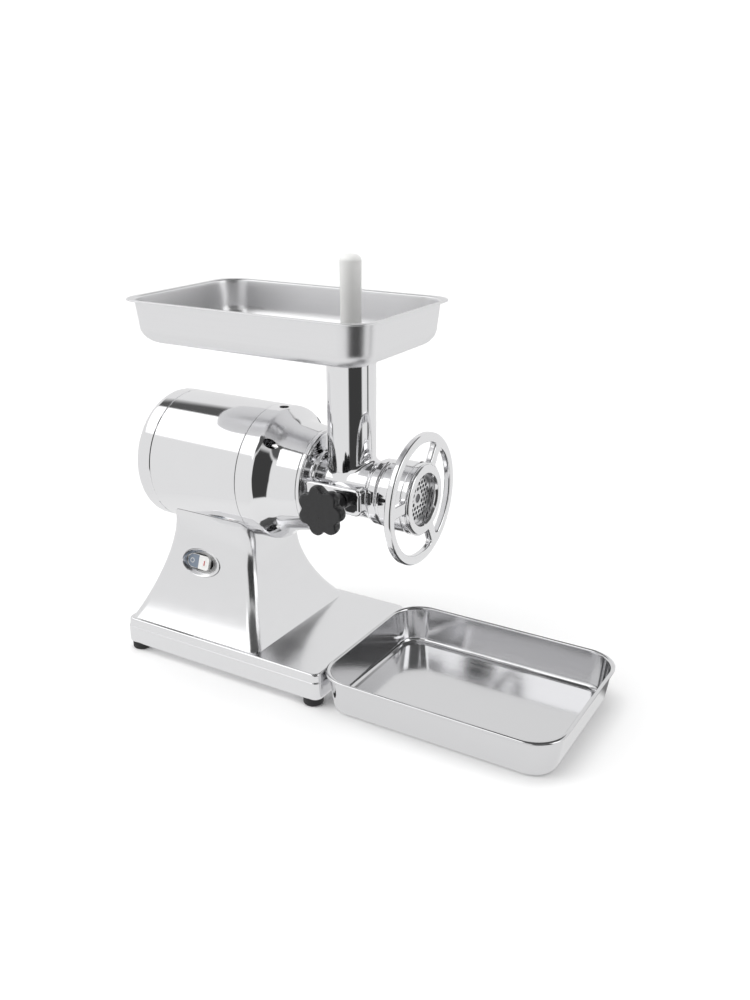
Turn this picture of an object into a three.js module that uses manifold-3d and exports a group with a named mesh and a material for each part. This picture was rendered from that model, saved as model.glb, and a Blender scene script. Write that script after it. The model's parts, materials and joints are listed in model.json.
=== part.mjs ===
// Electric meat grinder, size 12: a die-cast body with a coaxial motor and gear case, a slide-in grinding
// head, a feed tray with its pusher, and a collecting tray. Millimetres, +X forward, +Z up, table at z = 0.
// Each sub-part is laid out from the feed neck's axis at x = 0; the group is then moved to its own centre.
import * as THREE from "three";
import { mergeVertices } from "three/addons/utils/BufferGeometryUtils.js";
import Module from "manifold-3d";

const wasm = await Module();
wasm.setup();

// ---- Driving dimensions ----
const GAP = 0.3; // clearance between pieces that touch
const AXIS_Z = 259.5; // height of the motor, gear case and head axis
const BASE = { rear: -299.5, front: 18, half: 114, bottom: 11.3, crease: 35, top: 46.7 };
const BASE_CORNER = 11;
const WALL = 6; // thickness of the base casting
const SHELL = { rear: -257, front: -118, radius: 87.3, bore: 82 };
const CASE = { shoulder: -93.5, neck: -76, front: -41.3, neckRadius: 72, frontRadius: 66, bore: 59 };
const CASE_SCREWS = { angles: [45, 135, 225, 315], circle: 79, seat: -104, head: 5.3, pocket: 5.9 };
const COVER_SCREWS = { angles: [135, 255, 15], circle: 56, depth: 4, head: 4.2, pocket: 4.7 };
const FILLER = { x: -101, radius: 6, bottom: 66, top: 80 }; // heights above the drive axis
const SOCKET = { face: -36, collar: -32, collarRadius: 41, bore: 37.3, rear: -68 };
const HEAD = { rear: -51.5, front: 93.5, radius: 36.9, barrel: 31.5, thread: 39.4 };
const NECK = { radius: 30.15, bore: 26, top: 429.5 };
const PLATE = { rear: 88.2, thickness: 5, radius: 35, seat: 35.4, hole: 4.6, pitch: 6.8 };
const NUT = { rear: 62, front: 104, barrel: 44, mouth: 31.3, thread: 40 };
const WHEEL = { rear: 92, front: 101, inner: 70, outer: 81.8, spokeHalf: 7.5, fillet: 5 };
const SPOKES = [57, 177, 297]; // degrees from +Y towards +Z
const CLAMP = { x: 16, boltRadius: 6, armInner: -38.5, armOuter: -56, armFront: 45, armHalf: 17 };
const KNOB = { inner: -87, outer: -101, radius: 32, lobes: 7, hub: 11.5 };
const FEED = { x: -92, length: 352, width: 220, rim: 484.5, bottom: 430, flange: 6, sheet: 1.5 };
const FEED_CORNERS = { flange: 29, wall: 33, floor: 22 };
const CATCH = { x: 172, length: 314, width: 239, rim: 51.7, bottom: 0.3, inset: 9.6, sheet: 1.5 };
const CATCH_CORNERS = { rim: 41, least: 14, floor: 9 };
const BEAD = 4; // width and depth of the collecting tray's rolled edge
const PUSHER = { bottom: 293, shoulder: 318, top: 543.5, plunger: 23.5, handle: 12.9 };
const GEARS = { centres: 39, pressure: 25, backlash: 0.3, pinion: 12, first: 40, output: 27 };
const MODULE = { fine: 1.5, coarse: 2 };
const SWITCH = { x: -202.5, y: -62.3, z: 130.5, tilt: 19.6, width: 64, height: 38, shift: -6.5 };
const ROCKER = { halfLength: 18, halfWidth: 9.4, openingHalfLength: 19.5, openingHalfWidth: 10.3 };
const PEDESTAL = {
  side: [[112, 42], [78, 75], [36, 150], [70, 207.5]],
  front: [[-77, 42], [-103, 75], [-138, 150], [-113, 207.5]],
  rear: [[-298, 42], [-285, 70], [-262, 140], [-243, 207.5]],
  corner: 14.5,
};
const CAP = { rounding: -272, round: 14, rear: -286, inner: -281, wall: 74, lip: 81.5 };
const VENTS = { count: 6, radius: 8, circle: 48 };
const STATOR = { rear: -225, front: -165, bore: 41.7 };
const ROTOR = { bore: 10.6, radius: 41 };
const WINDING = { length: 15, inner: 46, outer: 74, round: 5 };
const FAN = { blades: 9, inner: 18, outer: 64, rear: -259.95, front: -249.45, thickness: 2.4 };
const WIRE_HOLE = { x: -200, radius: 9 };
const CABLE = { z: 26, radius: 8.3, glandRear: -306, flange: 11 };

const REST_CENTRE_X = (CABLE.glandRear + CATCH.x + CATCH.length / 2) / 2;
const LAY_Z = AXIS_Z - GEARS.centres;
const TURN = Math.PI * 2;
const degrees = (angle) => (angle * Math.PI) / 180;

// The y and z of a point at an angle round the drive axis.
function polarYZ(radius, angle) {
  return [radius * Math.cos(degrees(angle)), AXIS_Z + radius * Math.sin(degrees(angle))];
}

// ---- Materials ----
const metal = (color, roughness) => new THREE.MeshStandardMaterial({ color, roughness, metalness: 1 });
const plain = (color, roughness) => new THREE.MeshStandardMaterial({ color, roughness, metalness: 0 });
const polished = () => metal(0xd9dadc, 0.12);
const satinSteel = () => metal(0xc4c6c8, 0.35);
const machined = () => metal(0xb5b8bb, 0.3);
const darkSteel = () => metal(0x6d7074, 0.45);
const copper = () => metal(0xb5673a, 0.4);
const brass = () => metal(0xb9974a, 0.3);
const blackPlastic = () => plain(0x161618, 0.4);
const blackRubber = () => plain(0x101011, 0.7);
const whitePlastic = () => plain(0xf1f1ee, 0.4);
const greyPlastic = () => plain(0xa9abb0, 0.45);
const nylon = () => plain(0xe6e0cc, 0.55);

// ---- Solids ----
function solidFrom(geometry) {
  const bare = geometry.index ? geometry.toNonIndexed() : geometry.clone();
  bare.deleteAttribute("normal");
  bare.deleteAttribute("uv");
  const merged = mergeVertices(bare, 1e-4);
  const index = merged.index.array;
  const faces = [];
  for (let i = 0; i < index.length; i += 3) {
    const [a, b, c] = [index[i], index[i + 1], index[i + 2]];
    if (a !== b && b !== c && c !== a) faces.push(a, b, c);
  }
  const build = (order) =>
    new wasm.Manifold(
      new wasm.Mesh({
        numProp: 3,
        vertProperties: merged.attributes.position.array,
        triVerts: new Uint32Array(order),
      }),
    );
  const made = build(faces);
  return made.volume() > 0 ? made : build(faces.slice().reverse());
}

function geometryFrom(solid) {
  const mesh = solid.getMesh();
  const positions = new Float32Array(mesh.numVert * 3);
  for (let i = 0; i < mesh.numVert; i++) {
    positions.set(mesh.vertProperties.subarray(i * mesh.numProp, i * mesh.numProp + 3), i * 3);
  }
  const indexed = new THREE.BufferGeometry()
    .setAttribute("position", new THREE.BufferAttribute(positions, 3))
    .setIndex(new THREE.BufferAttribute(mesh.triVerts, 1));
  const geometry = indexed.toNonIndexed();
  geometry.computeVertexNormals();
  return geometry;
}

const joined = (first, ...others) => others.reduce((sum, other) => sum.add(other), first);
const cut = (first, ...others) => others.reduce((rest, other) => rest.subtract(other), first);

const X = new THREE.Vector3(1, 0, 0);
const Y = new THREE.Vector3(0, 1, 0);
const Z = new THREE.Vector3(0, 0, 1);
const MINUS_Y = new THREE.Vector3(0, -1, 0);
const ORIGIN = new THREE.Vector2(0, 0);
const UP = new THREE.Matrix4().makeBasis(X, Y, Z); // outline in XY, drawn out along +Z
const FORWARD = new THREE.Matrix4().makeBasis(Y, Z, X); // outline in YZ, drawn out along +X
const OUTWARD = new THREE.Matrix4().makeBasis(X, Z, MINUS_Y); // outline in XZ, drawn out along -Y

// A solid of revolution about an axis through `centre`; outline points are [along the axis, radius].
function turned(outline, segments, basis, centre) {
  const points = outline.map(([along, radius]) => new THREE.Vector2(radius, along));
  const closed = outline[0][1] > 0 || outline.at(-1)[1] > 0;
  if (closed) points.push(points[0].clone());
  const lathe = new THREE.LatheGeometry(points, segments);
  lathe.rotateX(Math.PI / 2); // lathe axis from Y onto Z
  return solidFrom(lathe.applyMatrix4(basis).translate(...centre));
}

const ROUND = 36; // facets on the large turned bodies

const onAxis = (outline, segments = ROUND) => turned(outline, segments, FORWARD, [0, 0, AXIS_Z]);
const aroundZ = (outline, x, y, segments = 32) => turned(outline, segments, UP, [x, y, 0]);
const rodX = (x0, x1, radius, y = 0, z = AXIS_Z, segments = 20) =>
  turned([[x0, 0], [x0, radius], [x1, radius], [x1, 0]], segments, FORWARD, [0, y, z]);
const rodZ = (x, y, z0, z1, radius, segments = 20) =>
  turned([[z0, 0], [z0, radius], [z1, radius], [z1, 0]], segments, UP, [x, y, 0]);
const rodY = (x, z, y0, y1, radius, segments = 20) =>
  turned([[-y1, 0], [-y1, radius], [-y0, radius], [-y0, 0]], segments, OUTWARD, [x, 0, z]);
const ringX = (x0, x1, inner, outer, y = 0, z = AXIS_Z, segments = 24) =>
  turned([[x0, inner], [x0, outer], [x1, outer], [x1, inner]], segments, FORWARD, [0, y, z]);

function block(x0, x1, y0, y1, z0, z1) {
  const box = new THREE.BoxGeometry(x1 - x0, y1 - y0, z1 - z0);
  return solidFrom(box.translate((x0 + x1) / 2, (y0 + y1) / 2, (z0 + z1) / 2));
}

function drawn(shape, depth, basis, offset, curveSegments = 8) {
  const geometry = new THREE.ExtrudeGeometry(shape, { depth, bevelEnabled: false, curveSegments });
  return solidFrom(geometry.applyMatrix4(basis).translate(...offset));
}

const circle = (radius, count) =>
  Array.from({ length: count }, (_, i) =>
    new THREE.Vector2(radius, 0).rotateAround(ORIGIN, (TURN * i) / count));

function roundedRectangle(x0, x1, y0, y1, r) {
  const shape = new THREE.Shape();
  shape.moveTo(x0 + r, y0);
  shape.lineTo(x1 - r, y0);
  shape.absarc(x1 - r, y0 + r, r, -Math.PI / 2, 0, false);
  shape.lineTo(x1, y1 - r);
  shape.absarc(x1 - r, y1 - r, r, 0, Math.PI / 2, false);
  shape.lineTo(x0 + r, y1);
  shape.absarc(x0 + r, y1 - r, r, Math.PI / 2, Math.PI, false);
  shape.lineTo(x0, y0 + r);
  shape.absarc(x0 + r, y0 + r, r, Math.PI, Math.PI * 1.5, false);
  return shape;
}

// One level of a loft: a rounded rectangle at height z.
function level(z, x0, x1, half, r, steps = 4) {
  const corners = [
    [x1 - r, half - r, 0],
    [x0 + r, half - r, 90],
    [x0 + r, r - half, 180],
    [x1 - r, r - half, 270],
  ];
  return corners.flatMap(([cx, cy, start]) =>
    Array.from({ length: steps + 1 }, (_, i) => {
      const angle = degrees(start + (90 * i) / steps);
      return new THREE.Vector3(cx + r * Math.cos(angle), cy + r * Math.sin(angle), z);
    }),
  );
}

// A solid skinned over levels that all have the same number of points, closed by flat ends.
function loft(levels) {
  const count = levels[0].length;
  const centre = (ring) => ring.reduce((sum, p) => sum.add(p), new THREE.Vector3()).divideScalar(count);
  const points = [...levels.flat(), centre(levels[0]), centre(levels.at(-1))];
  const bottom = points.length - 2;
  const index = [];
  for (let i = 0; i < count; i++) {
    const next = (i + 1) % count;
    index.push(bottom, next, i);
    const last = (levels.length - 1) * count;
    index.push(bottom + 1, last + i, last + next);
    for (let ring = 0; ring < levels.length - 1; ring++) {
      const [low, high] = [ring * count, (ring + 1) * count];
      index.push(low + i, low + next, high + next, low + i, high + next, high + i);
    }
  }
  const geometry = new THREE.BufferGeometry().setFromPoints(points);
  geometry.setIndex(index);
  return solidFrom(geometry);
}

// ---- Base and pedestal ----
function slabLevels(inset) {
  const { rear, front, half } = BASE;
  return (z, extra) => {
    const total = inset + extra;
    return level(z, rear + total, front - total, half - total, BASE_CORNER - inset / 2);
  };
}

// The pedestal's outline at fraction t of its height: four flared sides that draw in towards the saddle.
function pedestalLevel(t, inset) {
  const curve = (ends) =>
    new THREE.CubicBezierCurve(...ends.map(([a, z]) => new THREE.Vector2(a, z))).getPoint(t);
  const side = curve(PEDESTAL.side);
  const front = curve(PEDESTAL.front);
  const rear = curve(PEDESTAL.rear);
  const corner = PEDESTAL.corner - inset / 2;
  return level(side.y, rear.x + inset, front.x - inset, side.x - inset, corner, 3);
}

function pedestal(inset, extraBottom, extraTop) {
  const steps = 6;
  const levels = Array.from({ length: steps + 1 }, (_, i) => pedestalLevel(i / steps, inset));
  const moved = (ring, dz) => ring.map((p) => new THREE.Vector3(p.x, p.y, p.z + dz));
  return loft([moved(levels[0], -extraBottom), ...levels, moved(levels.at(-1), extraTop)]);
}

// A flat oval tool at the switch: depth is measured outward from the pedestal's side face.
function switchTool(width, height, inner, outer) {
  const oval = new THREE.Shape();
  oval.absellipse(0, 0, width / 2, height / 2, 0, TURN, false);
  const depth = outer - inner;
  const geometry = new THREE.ExtrudeGeometry(oval, { depth, bevelEnabled: false, curveSegments: 12 });
  return solidFrom(onSwitch(geometry.translate(0, 0, inner)));
}

const onSwitch = (geometry) =>
  geometry.applyMatrix4(OUTWARD).rotateX(degrees(-SWITCH.tilt)).translate(SWITCH.x, SWITCH.y, SWITCH.z);

const wireHole = () => rodZ(WIRE_HOLE.x, 0, 150, 200, WIRE_HOLE.radius);

function pedestalBase() {
  const outer = slabLevels(0);
  const inner = slabLevels(WALL);
  const slab = loft([outer(BASE.bottom, 1), outer(BASE.bottom + 1, 0), outer(BASE.crease, 0),
    outer(BASE.crease + 1, 0.8), outer(BASE.top - 1, 1.6), outer(BASE.top, 2.6)]);
  const slabHollow = loft([inner(BASE.bottom - 1, 0), inner(BASE.top - WALL, 1)]);
  const saddle = (radius) => rodX(BASE.rear - 30, BASE.front, radius, 0, AXIS_Z, ROUND);
  const column = cut(pedestal(0, 1, 20), saddle(SHELL.radius + GAP));
  const columnHollow = cut(pedestal(WALL, 4, 1), saddle(SHELL.radius + WALL));
  const cableHole = rodX(BASE.rear - 5, BASE.rear + 15, CABLE.radius, 0, CABLE.z);
  const switchHole = switchTool(SWITCH.width, SWITCH.height, -14, 20);
  return cut(joined(slab, column), slabHollow, columnHollow, cableHole, wireHole(), switchHole);
}

function bottomCover() {
  const inset = WALL + GAP;
  const half = BASE.half - inset;
  const outline = roundedRectangle(BASE.rear + inset, BASE.front - inset, -half, half, 8);
  for (const y of [-40, -24, -8, 8, 24, 40]) {
    const slot = new THREE.Path();
    slot.absellipse(-180, y, 28, 3, 0, TURN, true);
    outline.holes.push(slot);
  }
  return drawn(outline, 2.5, UP, [0, 0, BASE.bottom], 6);
}

function foot(x, y) {
  const top = BASE.bottom - GAP;
  return aroundZ([[0, 0], [0, 11.5], [1.5, 13], [top, 13], [top, 0]], x, y, 24);
}

// ---- Motor ----
function motorShell() {
  const tube = ringX(SHELL.rear, SHELL.front, SHELL.bore, SHELL.radius, 0, AXIS_Z, ROUND);
  return cut(tube, wireHole());
}

function rearCap() {
  const { radius } = SHELL;
  const { rounding, round, rear, inner, wall, lip } = CAP;
  const front = SHELL.rear - GAP;
  const edge = Array.from({ length: 4 }, (_, i) => {
    const angle = degrees(30 * i);
    return [rounding - round * Math.sin(angle), radius - round + round * Math.cos(angle)];
  });
  const cup = onAxis([[front, lip], [front, radius], ...edge, [rear, 0], [inner, 0], [inner, wall],
    [rounding, lip]]);
  const bearingSeat = ringX(inner - 1, -264, 18.5, 22.5);
  const vents = Array.from({ length: VENTS.count }, (_, i) =>
    rodX(rear - 4, inner + 6, VENTS.radius, ...polarYZ(VENTS.circle, (360 * i) / VENTS.count), 8));
  return cut(joined(cup, bearingSeat), ...vents);
}

const statorCore = () =>
  ringX(STATOR.rear, STATOR.front, STATOR.bore, SHELL.bore - GAP, 0, AXIS_Z, ROUND);

function winding(x0, x1) {
  const { inner, outer, round } = WINDING;
  return onAxis([[x0, inner + round], [x0, outer - round], [x0 + round, outer], [x1 - round, outer],
    [x1, outer - round], [x1, inner + round], [x1 - round, inner], [x0 + round, inner]], 20);
}

function bearingPlate() {
  const disc = rodX(-128, SHELL.front, SHELL.bore - GAP, 0, AXIS_Z, ROUND);
  const wireHoles = [50, -50].map((y) => rodX(-130, -110, WIRE_HOLE.radius, y, AXIS_Z + 30));
  const shaftHole = rodX(-130, -110, 12);
  const bearingSeats = [rodX(-129, -121, 17.8), rodX(-124.5, -110, 11.3, 0, LAY_Z)];
  return cut(disc, shaftHole, ...bearingSeats, ...wireHoles);
}

const bearing = (x0, x1, bore, outer, z = AXIS_Z) => ringX(x0, x1, bore, outer, 0, z, 16);

const rotorCore = () => ringX(STATOR.rear, STATOR.front, ROTOR.bore, ROTOR.radius);

function motorShaft() {
  const [bearingRadius, coreRadius, pinionRadius] = [8.2, 10, 5.7];
  return onAxis([[-277, 0], [-277, bearingRadius], [-226, bearingRadius], [-226, coreRadius],
    [-136, coreRadius], [-130, bearingRadius], [-119, bearingRadius], [-119, pinionRadius],
    [-95.5, pinionRadius], [-95.5, 0]], 16);
}

function coolingFan() {
  const hub = onAxis([[-250, 8.8], [-250, 66], [-247, 66], [-247, 16], [-240.5, 16], [-240.5, 8.8]], 24);
  const { inner, outer, rear, front, thickness } = FAN;
  const blades = Array.from({ length: FAN.blades }, (_, i) => {
    const blade = new THREE.BoxGeometry(front - rear, outer - inner, thickness);
    blade.translate((front + rear) / 2, (outer + inner) / 2, 0);
    return solidFrom(blade.rotateX((TURN * i) / FAN.blades).translate(0, 0, AXIS_Z));
  });
  return joined(hub, ...blades);
}

// ---- Gear train: a reverted two-stage reduction of 7.5 to 1 with its layshaft under the main axis ----
const involute = (angle) => Math.tan(angle) - angle;

function gearOutline(teeth, module, toothAt, bore) {
  const pitch = (teeth * module) / 2;
  const base = pitch * Math.cos(degrees(GEARS.pressure));
  const [tip, root] = [pitch + 0.9 * module, pitch - 1.2 * module];
  const halfPitch = Math.PI / (2 * teeth) - GEARS.backlash / (4 * pitch);
  const halfAt = (radius) => {
    const angle = Math.acos(Math.min(1, base / Math.max(radius, base)));
    return halfPitch + involute(degrees(GEARS.pressure)) - involute(angle);
  };
  const radii = root > base ? [root, pitch, tip] : [root, base, pitch, tip];
  const shape = new THREE.Shape();
  const polar = (radius, angle) => new THREE.Vector2(radius * Math.cos(angle), radius * Math.sin(angle));
  const points = [];
  for (let i = 0; i < teeth; i++) {
    const middle = degrees(toothAt) + (TURN * i) / teeth;
    radii.forEach((radius) => points.push(polar(radius, middle - halfAt(radius))));
    [...radii].reverse().forEach((radius) => points.push(polar(radius, middle + halfAt(radius))));
  }
  shape.setFromPoints(points);
  const hole = new THREE.Path();
  hole.absarc(0, 0, bore, 0, TURN, true);
  shape.holes.push(hole);
  return shape;
}

function gear(x0, x1, outline, z) {
  return drawn(outline, x1 - x0, FORWARD, [x0, 0, z], 10);
}

const TOWARDS_LAY = -90;
const TOWARDS_MAIN = 90;

const motorPinion = () =>
  gear(-112, -97, gearOutline(GEARS.pinion, MODULE.fine, TOWARDS_LAY, 6), AXIS_Z);

const secondStagePinion = () =>
  gear(-94, -75, gearOutline(GEARS.pinion, MODULE.coarse, TOWARDS_MAIN, 7.3), LAY_Z);

// Each wheel turns half a tooth on, so that a gap faces its pinion's tooth.
function firstStageGear() {
  const toothAt = TOWARDS_MAIN + 180 / GEARS.first;
  return gear(-111, -98, gearOutline(GEARS.first, MODULE.fine, toothAt, 8.3), LAY_Z);
}

function outputGear() {
  const toothAt = TOWARDS_LAY + 180 / GEARS.output;
  return gear(-92.5, -77, gearOutline(GEARS.output, MODULE.coarse, toothAt, 10.3), AXIS_Z);
}

function layshaft() {
  const [rearJournal, wheelSeat, pinionSeat, frontJournal] = [5.7, 8, 7, 4.2];
  return turned([[-123.8, 0], [-123.8, rearJournal], [-113, rearJournal], [-113, wheelSeat],
    [-96, wheelSeat], [-96, pinionSeat], [-73, pinionSeat], [-73, frontJournal], [-61, frontJournal],
    [-61, 0]], 16, FORWARD, [0, 0, LAY_Z]);
}

function outputShaft() {
  const shaft = onAxis([[-94, 0], [-94, 10], [-72, 10], [-72, 8.2], [-55.5, 8.2], [-55.5, 11], [-53.2, 11],
    [-53.2, 0]], 20);
  const dog = rodX(-53.5, -44.4, 12);
  return cut(joined(shaft, dog), block(-52, -43, -6.3, 6.3, AXIS_Z - 6.3, AXIS_Z + 6.3));
}

// ---- Gear case and head socket ----
function gearCase() {
  const { shoulder, neck, front, neckRadius, frontRadius, bore } = CASE;
  const body = onAxis([[SHELL.front + GAP, 66], [SHELL.front + GAP, SHELL.radius], [shoulder, SHELL.radius],
    [neck, neckRadius], [front, frontRadius], [front, bore], [-92, bore], [-96, 66]]);
  const gearPocket = rodX(-130, -96, 33.5, 0, LAY_Z, 24);
  const { angles, circle: screwCircle, seat, pocket } = CASE_SCREWS;
  const pockets = angles.map((angle) => rodX(seat, neck + 6, pocket, ...polarYZ(screwCircle, angle), 12));
  const fillerHole = rodZ(FILLER.x, 0, AXIS_Z + FILLER.bottom - 4, AXIS_Z + 90, FILLER.radius, 16);
  return cut(body, gearPocket, fillerHole, ...pockets);
}

function capScrew(x0, headHeight, radius, y, z) {
  const head = rodX(x0, x0 + headHeight, radius, y, z, 12);
  return cut(head, rodX(x0 + headHeight - 2.5, x0 + headHeight + 1, radius * 0.45, y, z, 6));
}

// The plug in the oil filler hole on top of the gear case.
function fillerPlug() {
  const { x, radius, bottom, top } = FILLER;
  const body = rodZ(x, 0, AXIS_Z + bottom, AXIS_Z + top, radius - GAP, 16);
  return cut(body, rodZ(x, 0, AXIS_Z + top - 4, AXIS_Z + top + 1, radius / 2, 6));
}

function frontCover() {
  const { face, collar, collarRadius, bore, rear } = SOCKET;
  const disc = onAxis([[rear, 0], [rear, 52], [-62, 58.5], [CASE.front + GAP, 58.5], [CASE.front + GAP, 66],
    [face - 1.5, 66], [face, 64.5], [face, collarRadius + 1], [collar, collarRadius], [collar, 0]]);
  const arm = roundedRectangle(face - 6, CLAMP.armFront, -CLAMP.armHalf, CLAMP.armHalf, 8);
  const armSolid = drawn(arm, CLAMP.armInner - CLAMP.armOuter, OUTWARD, [0, CLAMP.armInner, AXIS_Z]);
  const { angles, circle: screwCircle, depth, pocket } = COVER_SCREWS;
  const screwSeats = angles.map((angle) =>
    rodX(face - depth, face + 5, pocket, ...polarYZ(screwCircle, angle), 12));
  const headSocket = rodX(-52, collar + 1, bore, 0, AXIS_Z, ROUND);
  const collarRelief = rodX(38.5, CLAMP.armFront + 1, 42.5, 0, AXIS_Z, ROUND);
  const bearingSeats = [rodX(rear - 2, -56.5, 17.8), rodX(rear - 2, -60, 8.3, 0, LAY_Z, 20)];
  const sealSeat = rodX(-60, -50, 14.6);
  const studHole = rodY(CLAMP.x, AXIS_Z, -60, -30, CLAMP.boltRadius + GAP);
  const padPocket = rodY(CLAMP.x, AXIS_Z, -50, -30, 9);
  return cut(joined(disc, armSolid), headSocket, collarRelief, ...bearingSeats, sealSeat, studHole,
    padPocket, ...screwSeats);
}

const outputSeal = () => ringX(-56, -52.5, 12.4, 14.2, 0, AXIS_Z, 20);

// ---- Clamp ----
const clampPad = () => rodY(CLAMP.x, AXIS_Z, -44.7, -37.5, 8.6);

function clampStud() {
  return rodY(CLAMP.x, AXIS_Z, KNOB.outer + 4, -45, CLAMP.boltRadius);
}

function starKnob() {
  const [bevel, wave] = [2, 3];
  const outline = new THREE.Shape();
  const steps = KNOB.lobes * 8;
  const points = Array.from({ length: steps }, (_, i) => {
    const angle = (TURN * i) / steps;
    const radius = KNOB.radius - bevel - wave + wave * Math.cos(KNOB.lobes * angle);
    return new THREE.Vector2(radius * Math.cos(angle), radius * Math.sin(angle));
  });
  outline.setFromPoints(points);
  const depth = KNOB.inner - KNOB.outer - 2 * bevel;
  const edges = { bevelSize: bevel, bevelThickness: bevel, bevelSegments: 1 };
  const lobed = new THREE.ExtrudeGeometry(outline, { depth, ...edges });
  lobed.translate(0, 0, bevel).applyMatrix4(OUTWARD).translate(CLAMP.x, KNOB.inner, AXIS_Z);
  const hub = rodY(CLAMP.x, AXIS_Z, KNOB.inner - 4, CLAMP.armOuter - 1, KNOB.hub);
  const studHole = rodY(CLAMP.x, AXIS_Z, KNOB.outer + 4 - GAP, -50, CLAMP.boltRadius + GAP);
  return cut(joined(solidFrom(lobed), hub), studHole);
}

// ---- Grinding head ----
function headBody() {
  const { rear, front, radius, barrel, thread } = HEAD;
  const barrelOuter = onAxis([[rear, 0], [rear, radius], [39, radius], [42, thread], [45, 41.5], [56, 41.5],
    [58.5, thread], [front, thread], [front, 0]]);
  const root = NECK.radius + 1.25;
  const neckOuter = aroundZ([[AXIS_Z, 0], [AXIS_Z, root], [AXIS_Z + 38, root], [AXIS_Z + 43, root - 0.8],
    [AXIS_Z + 50, NECK.radius], [NECK.top, NECK.radius], [NECK.top, 0]], 0, 0, 32);
  const barrelBore = onAxis([[-36, 0], [-36, barrel], [80.5, barrel], [87.5, PLATE.seat],
    [front + 1, PLATE.seat], [front + 1, 0]]);
  const neckBore = rodZ(0, 0, AXIS_Z, NECK.top + 1, NECK.bore, 32);
  const keySlot = rodX(86, front + 1, 2.2, 0, AXIS_Z + PLATE.seat, 8);
  const rearOpening = rodX(rear - 1, -44, 30);
  const bushSeat = rodX(-45, -35, 17);
  return cut(joined(barrelOuter, neckOuter), barrelBore, neckBore, rearOpening, bushSeat, keySlot);
}

const headBush = () => ringX(-43.8, -36.3, 14.3, 16.6, 0, AXIS_Z, 20);
const plateKey = () => rodX(86.5, HEAD.front, 1.8, 0, AXIS_Z + PLATE.seat, 8);

// A screw flight: a quadrilateral section carried round the axis while its pitch shortens towards the plate.
function flight(x0, x1, turns, inner, outer) {
  const steps = Math.round(turns * 16);
  const points = [];
  for (let i = 0; i <= steps; i++) {
    const s = i / steps;
    const x = x0 + (x1 - x0) * (1.22 * s - 0.22 * s * s);
    const angle = TURN * turns * s;
    for (const [dx, r] of [[-4.5, inner], [-1.8, outer], [1.8, outer], [4.5, inner]]) {
      points.push(new THREE.Vector3(x + dx, r * Math.cos(angle), r * Math.sin(angle)));
    }
  }
  const index = [0, 2, 1, 0, 3, 2];
  for (let i = 0; i < steps; i++) {
    for (let j = 0; j < 4; j++) {
      const [a, b] = [i * 4 + j, i * 4 + ((j + 1) % 4)];
      index.push(a, b, b + 4, a, b + 4, a + 4);
    }
  }
  const last = steps * 4;
  index.push(last, last + 1, last + 2, last, last + 2, last + 3);
  const geometry = new THREE.BufferGeometry().setFromPoints(points);
  geometry.setIndex(index);
  return solidFrom(geometry.translate(0, 0, AXIS_Z));
}

function auger() {
  const core = onAxis([[-35.7, 0], [-35.7, 17], [72, 20], [79.5, 16], [79.5, 0]], 20);
  const journal = rodX(-44, -35, 13.9);
  const squareBar = (x0, x1, half) => block(x0, x1, -half, half, AXIS_Z - half, AXIS_Z + half);
  const tail = squareBar(-51, -43, 6);
  const knifeSquare = squareBar(79, 88, 5.7);
  const pin = rodX(87, 92.5, 5, 0, AXIS_Z, 12);
  return joined(core, journal, tail, flight(-31, 75, 3.2, 12, 30.8), knifeSquare, pin);
}

function crossKnife() {
  const outline = new THREE.Shape();
  const points = [];
  for (let arm = 0; arm < 4; arm++) {
    for (const [u, v] of [[13, -8.5], [30.5, -5.2], [31, 4.6], [14, 8.5]]) {
      points.push(new THREE.Vector2(u, v).rotateAround(ORIGIN, degrees(90 * arm)));
    }
  }
  outline.setFromPoints(points);
  const square = [[-6, -6], [-6, 6], [6, 6], [6, -6]].map(([a, b]) => new THREE.Vector2(a, b));
  outline.holes.push(new THREE.Path(square));
  return drawn(outline, 7, FORWARD, [80.9, 0, AXIS_Z]);
}

function plateHoles() {
  const places = [];
  const row = PLATE.pitch * Math.sqrt(0.75);
  for (let j = -5; j <= 5; j++) {
    for (let i = -5; i <= 5; i++) {
      const [y, z] = [PLATE.pitch * (i + (j % 2 ? 0.5 : 0)), row * j];
      const reach = Math.hypot(y, z);
      if (reach > 8 && reach < 29.5) places.push([y, z]);
    }
  }
  return places;
}

function cuttingPlate() {
  const outline = new THREE.Shape();
  outline.absarc(0, 0, PLATE.radius, 0, TURN, false);
  for (const [y, z] of plateHoles()) {
    const hole = new THREE.Path();
    const middle = new THREE.Vector2(y, z);
    hole.setFromPoints(circle(PLATE.hole / 2, 6).reverse().map((point) => point.add(middle)));
    outline.holes.push(hole);
  }
  const disc = drawn(outline, PLATE.thickness, FORWARD, [PLATE.rear, 0, AXIS_Z], 20);
  return cut(disc, rodX(80, 100, 5.5, 0, AXIS_Z, 12), rodX(80, 100, 2.4, 0, AXIS_Z + PLATE.seat, 8));
}

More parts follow.
